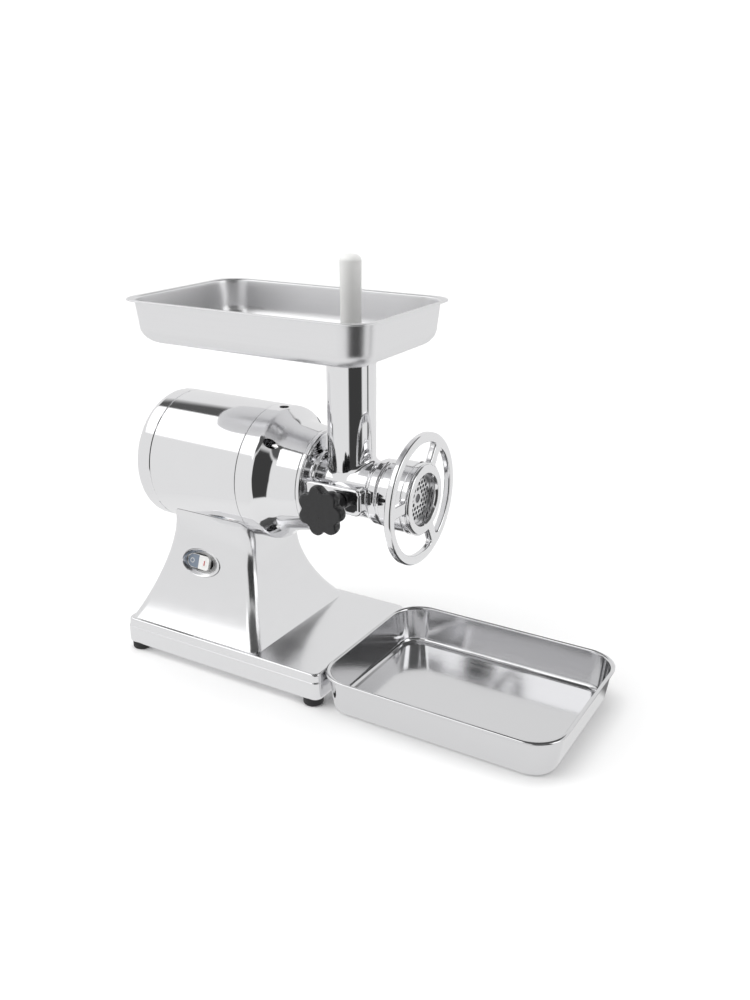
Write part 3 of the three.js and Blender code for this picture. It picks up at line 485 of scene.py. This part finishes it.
def make_gear_case():
    outline = rounded([(-117.7, 66), (-117.7, SHELL_RADIUS, 0.9), (-93.5, SHELL_RADIUS, 4),
                       (-76, 72, 7), (-41.3, 66, 1.0), (-41.3, 59), (-92, 59), (-96, 66)])
    case = revolve("gear_case_skin", outline, segments=SHELL_SEGMENTS)
    pockets = [rod(f"pocket_{i}", -104, -70, 5.95, centre=on_circle(CASE_SCREW_CIRCLE, angle))
               for i, angle in enumerate(CASE_SCREW_ANGLES)]
    filler_hole = rod("filler_hole", AXIS_Z + 62, AXIS_Z + 90, 6, "Z", (FILLER_X, 0, 0))
    finish_piece(cut(case, filler_hole, *pockets), "base", "polished_aluminium", polished,
                 "gear_case")


def make_filler_plug():
    low, top, radius = AXIS_Z + 66, AXIS_Z + 80, 5.7
    outline = rounded([(low, 0), (low, radius, 0.3), (top, radius, 0.8), (top, 0)], closed=False)
    plug = revolve("filler_plug_skin", outline, "Z", (FILLER_X, 0, 0), 48, closed=False)
    socket = rod("socket", top - 4, top + 1, 3, "Z", (FILLER_X, 0, 0), 6)
    finish_piece(cut(plug, socket), "base", "steel", dark_steel_and_painted_shade, "filler_plug")


def make_screw(node, seat, height, radius, material):
    """A socket cap screw's head on the node's own axis."""
    centre = (0, middle(node, 1), middle(node, 2))
    top = seat + height
    outline = rounded([(seat, 0), (seat, radius, 0.3), (top, radius, 0.9), (top, 0)], closed=False)
    head = revolve(f"{node}_skin", outline, centre=centre, segments=48, closed=False)
    socket = rod("socket", top - 2.6, top + 1, radius * 0.48, centre=centre, segments=6)
    finish_piece(cut(head, socket), "base", "steel", material, node)


COVER_SCREW_ANGLES = (135, 255, 15)
COVER_SCREW_CIRCLE = 56
KNOB_AXIS = (KNOB_X, 0, AXIS_Z)
STUD_HOLE = 6.3


def make_front_cover():
    outline = rounded([
        (-68, 0), (-68, 52), (-62, 58.5), (-41, 58.5),
        (-41, 66, 0.6), (-36, 66, 1.6), (-36, 62.5, 0.6),  # the rim
        (-37.6, 62, 0.5), (-37.6, 60.2, 0.5), (-36.4, 59.7, 0.5),  # the groove inside it
        (-36.4, 42.5, 1.5), (-32, 41, 1.2), (-32, 0),  # the collar round the head
    ], closed=False)
    cover = revolve("front_cover_skin", outline, segments=160, closed=False)

    arm_rings = []
    edge = rounded([(38.5, 0), (54, 0, 3), (56, 3.5, 3), (56, 8)], closed=False, steps=6)
    for out, inset in edge:
        ring = rounded_ring(0, -46 + inset, 45 - inset, 17 - inset, max(2, 8 - inset * 0.5), 8)
        arm_rings.append([(x, -out, AXIS_Z + z) for x, z, _ in ring])
    join(cover, loft("arm", arm_rings))

    screw_places = [on_circle(COVER_SCREW_CIRCLE, angle) for angle in COVER_SCREW_ANGLES]
    screw_seats = [rod(f"screw_seat_{i}", -40, -30, 4.8, centre=centre)
                   for i, centre in enumerate(screw_places)]
    cut(cover,
        rod("bore", -52, -20, 37.3, segments=128),
        rod("relief", 38.5, 48, 42.5, segments=128),
        rod("seat", -70, -56.5, 17.8),
        rod("seal_seat", -60, -50, 14.6),
        rod("lay_seat", -70, -60, 8.3, centre=(0, 0, AXIS_Z - 39)),
        rod("stud_bore", 30, 60, STUD_HOLE, "-Y", KNOB_AXIS),
        rod("pad_bore", 30, 50, 9, "-Y", KNOB_AXIS),
        *screw_seats)
    finish_piece(cover, "base", "polished_aluminium", polished, "front_cover")


# ---- Clamp knob ----
LOBES = dict(count=7, notch=6.4, sharpness=1.7, core=20, reach=12)


def make_knob():
    segments = 224
    profile = rounded([(87, 9, 0), (87, 27.5, 2), (88.5, 30.2, 2), (94, 31.9, 4), (99.6, 30.6, 2),
                       (101, 28, 2), (101, 0.5)], closed=False, steps=6)
    vertices, rings = [], []
    for out, radius in profile:
        depth = max(0.0, (radius - LOBES["core"]) / LOBES["reach"])
        ring = []
        for i in range(segments):
            angle = math.tau * i / segments
            wave = (1 - math.cos(LOBES["count"] * angle)) / 2
            reach = radius - depth * LOBES["notch"] * wave ** LOBES["sharpness"]
            ring.append(len(vertices))
            vertices.append((KNOB_X + reach * math.cos(angle), -out,
                             AXIS_Z + reach * math.sin(angle)))
        rings.append(ring)
    faces = [rings[0][::-1], rings[-1]]
    for low, high in zip(rings, rings[1:]):
        for i in range(segments):
            j = (i + 1) % segments
            faces.append((low[i], low[j], high[j], high[i]))
    knob = mesh_object("star_knob_skin", vertices, faces)
    cut(knob, rod("stud_hole", 80, 97.3, STUD_HOLE, "-Y", KNOB_AXIS))
    finish_piece(knob, "clamp_knob", "black_plastic", black, "star_knob")

    outline = rounded([(57, 6.4), (57, 10.4, 1), (60, 11.5, 2), (84, 12.4, 4), (87.3, 16, 2),
                       (87.3, 6.4)])
    hub = revolve("star_knob_hub", outline, "-Y", KNOB_AXIS, 96)
    finish_piece(hub, "clamp_knob", "black_plastic", black)


# ---- Grinding head ----
BARREL_RADIUS = 36.9
NOSE_RADIUS = 39.4
PLATE_SEAT_RADIUS = 35.4
NECK_RADIUS = 30.15
NECK_TOP = 429.5
NECK_FILLET_REAR, NECK_FILLET_EXTRA = 1.2, 4.8


def neck_rings():
    """The neck runs down onto the barrel in a hollow curve, wide at the front and tight behind."""
    count, curve_steps = 144, 8

    def on_barrel(widen, rise):
        """A ring over the barrel, widened and raised by shares of the local fillet's radius."""
        points = []
        for i in range(count):
            angle = math.tau * i / count
            fillet = NECK_FILLET_REAR + NECK_FILLET_EXTRA * (1 + math.cos(angle)) / 2
            radius = NECK_RADIUS + fillet * widen
            saddle = math.sqrt(max(0.0, BARREL_RADIUS ** 2 - (radius * math.sin(angle)) ** 2))
            points.append((radius * math.cos(angle), radius * math.sin(angle),
                           AXIS_Z + saddle + fillet * rise))
        return points

    def level(radius, height):
        return [(x, y, height) for x, y in circle(radius, count)]

    rings = [[(x * 0.97, y * 0.97, z - 6) for x, y, z in on_barrel(1, 0)]]  # sunk in the barrel
    for step in range(curve_steps + 1):
        sweep = math.radians(90 * step / curve_steps)
        rings.append(on_barrel(1 - math.sin(sweep), 1 - math.cos(sweep)))
    rings += [level(NECK_RADIUS, height) for height in (AXIS_Z + 50, AXIS_Z + 100, NECK_TOP - 1)]
    rings.append(level(NECK_RADIUS - 0.8, NECK_TOP))
    return rings


def make_head():
    outline = rounded([
        (-51.5, 0), (-51.5, BARREL_RADIUS, 0.8), (39, BARREL_RADIUS, 1.5),
        (42, NOSE_RADIUS, 1.5), (44, NOSE_RADIUS, 1), (46, 41.5, 1.4), (55, 41.5, 1.4),
        (57, NOSE_RADIUS, 1), (93.5, NOSE_RADIUS, 0.8), (93.5, 0),
    ], closed=False)
    head = revolve("head_body_skin", outline, segments=160, closed=False)
    join(head, loft("neck", neck_rings()))
    bore_outline = [(-36, 0), (-36, 31.5), (80.5, 31.5), (87.5, PLATE_SEAT_RADIUS),
                    (95, PLATE_SEAT_RADIUS), (95, 0)]
    cut(head,
        revolve("bore", bore_outline, segments=128, closed=False),
        rod("neck_bore", AXIS_Z, NECK_TOP + 1, 26, "Z", (0, 0, 0), 128),
        rod("skirt", -53, -44, 30),
        rod("bush_seat", -45, -35, 17),
        rod("key_slot", 86, 95, 2.2, centre=(0, 0, AXIS_Z + PLATE_SEAT_RADIUS), segments=24))
    finish_piece(head, "head", "polished_aluminium", polished, "head_body")


PLATE = dict(radius=35, thickness=5, x=90.7, bore=5.5, hole=2.35, pitch=6.8, first=8, last=29.5)


def plate_holes():
    """Centres of the holes: rows of a triangular pattern between the first and last circle."""
    row = PLATE["pitch"] * math.sqrt(0.75)
    places = []
    for j in range(-5, 6):
        for i in range(-5, 6):
            y, z = PLATE["pitch"] * (i + (0.5 if j % 2 else 0)), row * j
            if PLATE["first"] < math.hypot(y, z) < PLATE["last"]:
                places.append((y, z))
    return places


def make_plate():
    holes = [circle(PLATE["hole"], 20, y, z) for y, z in plate_holes()]
    plate = flat_outline("cutting_plate_skin", circle(PLATE["radius"], 160),
                         [circle(PLATE["bore"], 48), *holes], PLATE["thickness"], 0.3,
                         facing_forward(PLATE["x"]))
    finish_piece(plate, "plate", "steel", satin, "cutting_plate")


SPOKES = (57, 177, 297)
WHEEL = dict(radius=81.8, bore=42.5, x=96.5, thickness=9, bevel=2.6)
GAP = dict(inner=44.2, outer=70.0, half_spoke=7.2, fillet=6.0, corner_steps=7)


def spoke_gap(after, before):
    """The opening between two spokes: two arcs and two straight sides, with rounded corners."""
    inner, outer, half, fillet = GAP["inner"], GAP["outer"], GAP["half_spoke"], GAP["fillet"]

    def on_arc(radius, angle):
        turn = math.radians(angle)
        return (radius * math.cos(turn), radius * math.sin(turn))

    def arc(radius, start, end, steps):
        return [on_arc(radius, start + (end - start) * k / steps) for k in range(steps + 1)]

    def on_side(radius, way, spoke):
        along = math.sqrt(radius * radius - half * half)
        turn = math.radians(spoke)
        return (along * math.cos(turn) - way * half * math.sin(turn),
                along * math.sin(turn) + way * half * math.cos(turn))

    def corner(radius, way, spoke, inward):
        """Corner points from the arc onto the spoke's side."""
        spread = math.degrees(math.asin((half + fillet) / radius))
        start = Vector(on_arc(radius, spoke + way * spread))
        peak = Vector(on_side(radius, way, spoke))
        end = Vector(on_side(radius - fillet * inward, way, spoke))
        shares = [k / GAP["corner_steps"] for k in range(GAP["corner_steps"] + 1)]
        return [tuple(start * (1 - t) ** 2 + peak * 2 * t * (1 - t) + end * t * t) for t in shares]

    spread_out = math.degrees(math.asin((half + fillet) / outer))
    spread_in = math.degrees(math.asin((half + fillet) / inner))
    return [
        *arc(outer, after + spread_out, before - spread_out, 40)[1:-1],
        *corner(outer, -1, before, 1),
        *corner(inner, -1, before, -1)[::-1],
        *arc(inner, before - spread_in, after + spread_in, 24)[1:-1],
        *corner(inner, 1, after, -1),
        *corner(outer, 1, after, 1)[::-1],
    ]


def make_ring_nut():
    outline = rounded([(62, 40), (62, 44, 1.2), (98, 44, 1), (102.5, 43.4, 1.5), (104, 41.6, 1),
                       (104, 33.2, 1), (100, 31.3, 1.5), (93.6, 31.3, 0.3), (93.6, 40)])
    nut = revolve("ring_nut_skin", outline, segments=160)
    finish_piece(nut, "ring_nut", "polished_aluminium", polished, "ring_nut")
    gaps = [spoke_gap(a, b) for a, b in zip(SPOKES, (*SPOKES[1:], SPOKES[0] + 360))]
    wheel = flat_outline("handwheel_skin", circle(WHEEL["radius"], 200),
                         [circle(WHEEL["bore"], 120), *gaps], WHEEL["thickness"], WHEEL["bevel"],
                         facing_forward(WHEEL["x"]))
    finish_piece(wheel, "ring_nut", "polished_aluminium", polished, angle=40)


# ---- Trays and pusher ----
SHEET = 1.3
FEED = dict(x=-92, length=352, width=220, rim=484.5, bottom=430, foot=9, wall=6, corner=33,
            rim_corner=29, fillet=22)
CATCH = dict(x=172, length=314, width=239, bottom=0.3, foot=9.6, wall=3.2, corner=41, fillet=9,
             bead=2.4, bead_z=49.3)


def tray_ring(tray, z, inset, radius):
    return rounded_ring(z, tray["x"] - tray["length"] / 2 + inset,
                        tray["x"] + tray["length"] / 2 - inset,
                        tray["width"] / 2 - inset, radius, 14)


def hollow_curve(tray, sheet, steps):
    """(height, inset) points up the curve from a tray's floor to its wall, a sheet inside it."""
    reach = tray["fillet"] - sheet
    points = []
    for i in range(steps + 1):
        turn = math.radians(90 * i / steps)
        points.append((tray["bottom"] + sheet + reach * (1 - math.cos(turn)),
                       tray["foot"] + sheet + reach * (1 - math.sin(turn))))
    return points


def make_feed_tray():
    bottom, rim, wall, corner = FEED["bottom"], FEED["rim"], FEED["wall"], FEED["corner"]
    outside = hollow_curve(FEED, 0, 14)
    inside = hollow_curve(FEED, SHEET, 14)[::-1]
    flange = rounded([(478, wall + 0.4), (482.6, wall, 1.4), (482.6, 0.8, 0.3), (483.2, 0, 0.4),
                      (rim, 0.3, 0.6), (rim, wall + 1, 2.4), (479, wall + SHEET + 0.3)],
                     closed=False)
    rim_corner = FEED["rim_corner"]
    rings = [
        tray_ring(FEED, bottom, 66, 10),
        *[tray_ring(FEED, z, inset, corner - (inset - wall) * 0.5) for z, inset in outside],
        *[tray_ring(FEED, z, inset, rim_corner + min(1, inset / wall) * (corner - rim_corner))
          for z, inset in flange],
        *[tray_ring(FEED, z, inset, corner - SHEET - (inset - wall) * 0.5) for z, inset in inside],
        tray_ring(FEED, bottom + SHEET, 66, 10),
    ]
    pan = loft("feed_tray_skin", rings)
    join(pan, rod("spigot", bottom - 14, bottom + 0.8, 25.7, "Z", (0, 0, 0), 128))
    cut(pan, rod("hole", bottom - 20, bottom + 10, 24.6, "Z", (0, 0, 0), 128))
    finish_piece(pan, "feed_tray", "satin_stainless", satin, "feed_tray")


def make_collecting_tray():
    bottom, wall, corner, bead = CATCH["bottom"], CATCH["wall"], CATCH["corner"], CATCH["bead"]
    outside = hollow_curve(CATCH, 0, 9)
    inside = hollow_curve(CATCH, SHEET, 9)[::-1]
    bead_turns = [math.radians(-70 + 250 * i / 12) for i in range(13)]
    rings = [
        tray_ring(CATCH, bottom, 50, 12),
        *[tray_ring(CATCH, z, inset, max(12, corner - inset)) for z, inset in outside],
        tray_ring(CATCH, 47.4, wall + 0.4, corner - wall),
        *[tray_ring(CATCH, CATCH["bead_z"] + bead * math.sin(turn), bead - bead * math.cos(turn),
                    corner) for turn in bead_turns],
        tray_ring(CATCH, 47.6, wall + SHEET + 0.5, corner - (wall + SHEET + 0.5)),
        *[tray_ring(CATCH, z, inset, max(11, corner - inset)) for z, inset in inside],
        tray_ring(CATCH, bottom + SHEET, 50, 12),
    ]
    finish_piece(loft("collecting_tray_skin", rings), "collecting_tray", "satin_stainless",
                 bright_sheet, "collecting_tray")


def make_pusher():
    top, dome_height, handle = 543.5, 8, 12.9
    dome = [(top - dome_height * (1 - math.sin(math.radians(a))),
             handle * math.cos(math.radians(a)) ** 0.8) for a in range(0, 90, 6)]
    outline = rounded([(293, 0), (293, 23.5, 2.5), (318, 23.5, 4), (332, 12.4, 6), (470, 12.5)],
                      closed=False)
    body = revolve("pusher_skin", [*outline, *dome, (top, 0)], "Z", (0, 0, 0), 96, closed=False)
    finish_piece(body, "pusher", "white_plastic", white, "pusher", angle=45)


# ---- Switch ----
BEZEL_WIDTH = 63.3
ROCKER_HALF = 9.4
INLAY_TILT, BAR_TILT = 0.094, 0.16  # slopes of the rocker's face under the marks


def make_bezel():
    """The profile is (out, width); each ring's height and shift follow from its width."""
    profile = rounded([(-9, 46, 0), (-9, 62.4, 0.5), (0, BEZEL_WIDTH, 0.3), (0.5, 62.2, 0.8),
                       (-0.6, 58.5, 2), (-5.5, 48, 5), (-6.6, 45, 1), (-9, 45)], steps=4)
    rings = [oval_ring(width, width * 0.836 - 15.6, out, shift=(width - BEZEL_WIDTH) * 0.36)
             for out, width in profile]
    bezel = loft("switch_bezel_skin", rings, looped=True)
    finish_piece(bezel, "base", "satin_stainless", casting, "switch_bezel")


def make_rocker():
    outline = [(-21, -9), (19, -6), (19, -1.2), (8, -2.8), (0, -4.4), (-8, -5.6), (-21, -6.3)]
    vertices = [switch_place(across + SWITCH["shift"], height, out)
                for height in (-ROCKER_HALF, ROCKER_HALF) for across, out in outline]
    count = len(outline)
    faces = [list(range(count)), list(range(count, 2 * count))]
    faces += [(i, (i + 1) % count, count + (i + 1) % count, count + i) for i in range(count)]
    rocker = mesh_object("rocker_skin", vertices, faces)
    key_outline = loft("key_outline", [oval_ring(44, 26, out, shift=-6.6) for out in (-12, 2)])
    boolean(rocker, [key_outline], "INTERSECT")
    bevel = rocker.modifiers.new("soft_edges", "BEVEL")
    bevel.width = 1.2 * MM
    bevel.segments = 4
    bevel.angle_limit = math.radians(40)
    finish_piece(rocker, "rocker", "white_plastic", white, "rocker")


def make_rocker_marks():
    half_outline = ((-14.5, -8.4), (-0.8, -9), (-0.8, 9), (-14.5, 8.4), (-19.4, 4.6), (-20.6, 0),
                    (-19.4, -4.6))
    # The off half's blue-grey inlay is painted shade on the rocker's tilted face.
    inlay = loft("rocker_off_half", [
        [switch_place(SWITCH["shift"] + across, height, out + across * INLAY_TILT)
         for across, height in half_outline] for out in (-5.4, -4.25)])
    finish_piece(inlay, "rocker", "white_plastic", off_half_painted_shade)

    profile = ((-6.4, 6.6), (-5.0, 6.6), (-5.0, 5.2), (-6.4, 5.2))
    ring = loft("rocker_mark_off", [oval_ring(width, width, out, 40, -18.5)
                                    for out, width in profile], looped=True)
    finish_piece(ring, "rocker", "white_plastic", white)

    bar_outline = ((-0.5, -3.2), (0.5, -3.2), (0.5, 3.2), (-0.5, 3.2))
    bar = loft("rocker_mark_on", [
        [switch_place(4 + across, height, out + across * BAR_TILT)
         for across, height in bar_outline] for out in (-3.4, -1.7)])
    finish_piece(bar, "rocker", "white_plastic", red_ink)


# ---- Stage ----
def math_node(tree, operation, *values):
    node = tree.nodes.new("ShaderNodeMath")
    node.operation = operation
    for socket, value in zip(node.inputs, values):
        if hasattr(value, "is_linked"):
            tree.links.new(value, socket)
        else:
            socket.default_value = value
    return node.outputs["Value"]


def between(tree, value, low, high, soft):
    """1 where value lies between low and high, with soft edges."""
    parts = []
    for edge, first, last in ((low, 0, 1), (high, 1, 0)):
        ramp = tree.nodes.new("ShaderNodeMapRange")
        ramp.inputs["From Min"].default_value = edge - soft
        ramp.inputs["From Max"].default_value = edge + soft
        ramp.inputs["To Min"].default_value = first
        ramp.inputs["To Max"].default_value = last
        tree.links.new(value, ramp.inputs["Value"])
        parts.append(ramp.outputs["Result"])
    return math_node(tree, "MULTIPLY", *parts)


def separated(tree, vector):
    node = tree.nodes.new("ShaderNodeSeparateXYZ")
    tree.links.new(vector, node.inputs["Vector"])
    return node.outputs


def sector(tree, x, y, centre, half, soft=3):
    """1 where the direction (x, y) lies within half degrees of the azimuth centre."""
    turn = math.radians(-centre)
    along = math_node(tree, "ADD", math_node(tree, "MULTIPLY", x, math.cos(turn)),
                      math_node(tree, "MULTIPLY", y, -math.sin(turn)))
    across = math_node(tree, "ADD", math_node(tree, "MULTIPLY", x, math.sin(turn)),
                       math_node(tree, "MULTIPLY", y, math.cos(turn)))
    angle = math_node(tree, "ARCTAN2", across, along)
    return between(tree, angle, math.radians(-half), math.radians(half), math.radians(soft))


def blended(tree, level, mask, value):
    """The level, replaced by value where the mask is 1."""
    kept = math_node(tree, "MULTIPLY", level, math_node(tree, "SUBTRACT", 1.0, mask))
    return math_node(tree, "ADD", kept, math_node(tree, "MULTIPLY", mask, value))


# Brightness the metal sees, and where: azimuths in degrees, heights as the sine of the elevation.
PAPER = 0.84
DARK = 0.05
DARK_AZIMUTH, DARK_HALF = -41, 31
CEILING = dict(low=0.66, level=0.1)
SOFTBOX = dict(azimuth=-146, half=44, low=0.5, high=0.875, level=1.45)
RIGHT_LIGHT = dict(azimuth=3, half=13, low=0.05, high=0.75, level=1.6)
FLOOR_STRIPE = dict(azimuth=22, half=4, level=0.12)
NEAR_FLOOR, DARK_FLOOR = 0.45, 0.47  # metres from the neck's foot
GLOSSY_SHARE = 0.88
BACKDROP = 1.25
FLOOR_HALF = 9


def make_floor():
    """Plain pale paper. To glossy rays only, it mostly glows with a painted reflection by its place
    in the room.

    The painted reflection is pale near the part, with a dark sector and a faint stripe further out.
    """
    mesh = bpy.data.meshes.new("floor")
    corners = [(-FLOOR_HALF, -FLOOR_HALF, 0), (FLOOR_HALF, -FLOOR_HALF, 0),
               (FLOOR_HALF, FLOOR_HALF, 0), (-FLOOR_HALF, FLOOR_HALF, 0)]
    mesh.from_pydata(corners, [], [(0, 1, 2, 3)])
    floor = bpy.data.objects.new("floor", mesh)
    bpy.context.collection.objects.link(floor)
    material = surface("pale_floor", (0.965, 0.965, 0.965), NON_METAL, 0.6, spread=0.03,
                       grain=(3, 3, 3), fine=300, tint=0.005)
    tree = material.node_tree
    position = tree.nodes.new("ShaderNodeNewGeometry").outputs["Position"]
    x, y, _ = separated(tree, position)
    distance = math_node(tree, "SQRT", math_node(tree, "ADD", math_node(tree, "MULTIPLY", x, x),
                                                 math_node(tree, "MULTIPLY", y, y)))
    dark = math_node(tree, "MULTIPLY", sector(tree, x, y, DARK_AZIMUTH, DARK_HALF),
                     between(tree, distance, DARK_FLOOR, 30, 0.02))
    level = blended(tree, PAPER, dark, DARK)
    stripe = sector(tree, x, y, FLOOR_STRIPE["azimuth"], FLOOR_STRIPE["half"], 1.5)
    level = blended(tree, level, stripe, FLOOR_STRIPE["level"])
    # Painted reflection: an emission of pale paper light, with a dark sector and a faint stripe,
    # that only glossy rays see.
    emission = tree.nodes.new("ShaderNodeEmission")
    tree.links.new(level, emission.inputs["Color"])
    far = between(tree, distance, NEAR_FLOOR, 90, 0.05)
    share = math_node(tree, "ADD", GLOSSY_SHARE,
                      math_node(tree, "MULTIPLY", far, 1 - GLOSSY_SHARE))
    reflected = tree.nodes.new("ShaderNodeLightPath").outputs["Is Glossy Ray"]
    mix = tree.nodes.new("ShaderNodeMixShader")
    tree.links.new(math_node(tree, "MULTIPLY", share, reflected), mix.inputs["Fac"])
    tree.links.new(tree.nodes["Principled BSDF"].outputs["BSDF"], mix.inputs[1])
    tree.links.new(emission.outputs["Emission"], mix.inputs[2])
    tree.links.new(mix.outputs["Shader"], tree.nodes["Material Output"].inputs["Surface"])
    mesh.materials.append(material)


def room_light(tree, x, y, z, light, soft):
    return math_node(tree, "MULTIPLY", sector(tree, x, y, light["azimuth"], light["half"], 2),
                     between(tree, z, light["low"], light["high"], soft))


def make_world():
    """A studio of pale walls: a softbox and a lit wall, a dark ceiling and a dark sector.

    The camera sees a plain white backdrop instead.
    """
    world = bpy.data.worlds.new("studio")
    bpy.context.scene.world = world
    world.use_nodes = True
    tree = world.node_tree
    background = tree.nodes["Background"]
    direction = tree.nodes.new("ShaderNodeTexCoord").outputs["Generated"]
    x, y, z = separated(tree, direction)
    ceiling = between(tree, z, CEILING["low"], 2, 0.04)
    level = blended(tree, PAPER, ceiling, CEILING["level"])
    softbox = room_light(tree, x, y, z, SOFTBOX, 0.01)
    level = blended(tree, level, softbox, SOFTBOX["level"])
    dark = math_node(tree, "MULTIPLY", sector(tree, x, y, DARK_AZIMUTH, DARK_HALF),
                     between(tree, z, -2, 0.6, 0.04))
    level = blended(tree, level, dark, DARK)
    right_light = room_light(tree, x, y, z, RIGHT_LIGHT, 0.02)
    level = blended(tree, level, right_light, RIGHT_LIGHT["level"])
    seen = tree.nodes.new("ShaderNodeLightPath").outputs["Is Camera Ray"]
    level = blended(tree, level, seen, BACKDROP)
    tree.links.new(level, background.inputs["Color"])


def area_light(name, location, target, size, power):
    light = bpy.data.lights.new(name, "AREA")
    light.shape = "RECTANGLE"
    light.size, light.size_y = size
    light.energy = power
    lamp = bpy.data.objects.new(name, light)
    lamp.location = location
    lamp.rotation_euler = (Vector(target) - Vector(location)).to_track_quat("-Z", "Y").to_euler()
    lamp.visible_glossy = False
    bpy.context.collection.objects.link(lamp)


def make_lights():
    area_light("left_window", (-1.9, -1.3, 1.3), (-0.1, 0, 0.25), (1.4, 1.6), 18)
    sun = bpy.data.lights.new("even_overhead", "SUN")
    sun.energy = 1.9
    sun.angle = math.radians(60)
    lamp = bpy.data.objects.new("even_overhead", sun)
    lamp.visible_glossy = False
    bpy.context.collection.objects.link(lamp)


def make_camera():
    azimuth, elevation, distance = math.radians(30.62), math.radians(20.61), 1.243
    target = place(33, 0, 245.8)
    back = Vector((math.sin(azimuth) * math.cos(elevation),
                   -math.cos(azimuth) * math.cos(elevation), math.sin(elevation)))
    camera = bpy.data.objects.new("camera", bpy.data.cameras.new("camera"))
    camera.data.lens = 36.0
    camera.data.sensor_width = 36.0
    camera.location = target + back * distance
    camera.rotation_euler = (-back).to_track_quat("-Z", "Y").to_euler()
    bpy.context.collection.objects.link(camera)
    bpy.context.scene.camera = camera


dress_cad_nodes()
make_pedestal()
make_feet()
make_motor()
make_gear_case()
make_filler_plug()
for number in range(1, 5):
    make_screw(f"case_screw_{number}", seat=-103.7, height=8, radius=5.3, material=dark_steel_and_painted_shade)
make_front_cover()
for number in range(1, 4):
    make_screw(f"cover_screw_{number}", seat=-39.7, height=4.5, radius=4.2, material=steel)
make_knob()
make_head()
make_plate()
make_ring_nut()
make_feed_tray()
make_collecting_tray()
make_pusher()
make_bezel()
make_rocker()
make_rocker_marks()
make_floor()
make_world()
make_lights()
make_camera()
bpy.context.scene.view_settings.view_transform = "Standard"
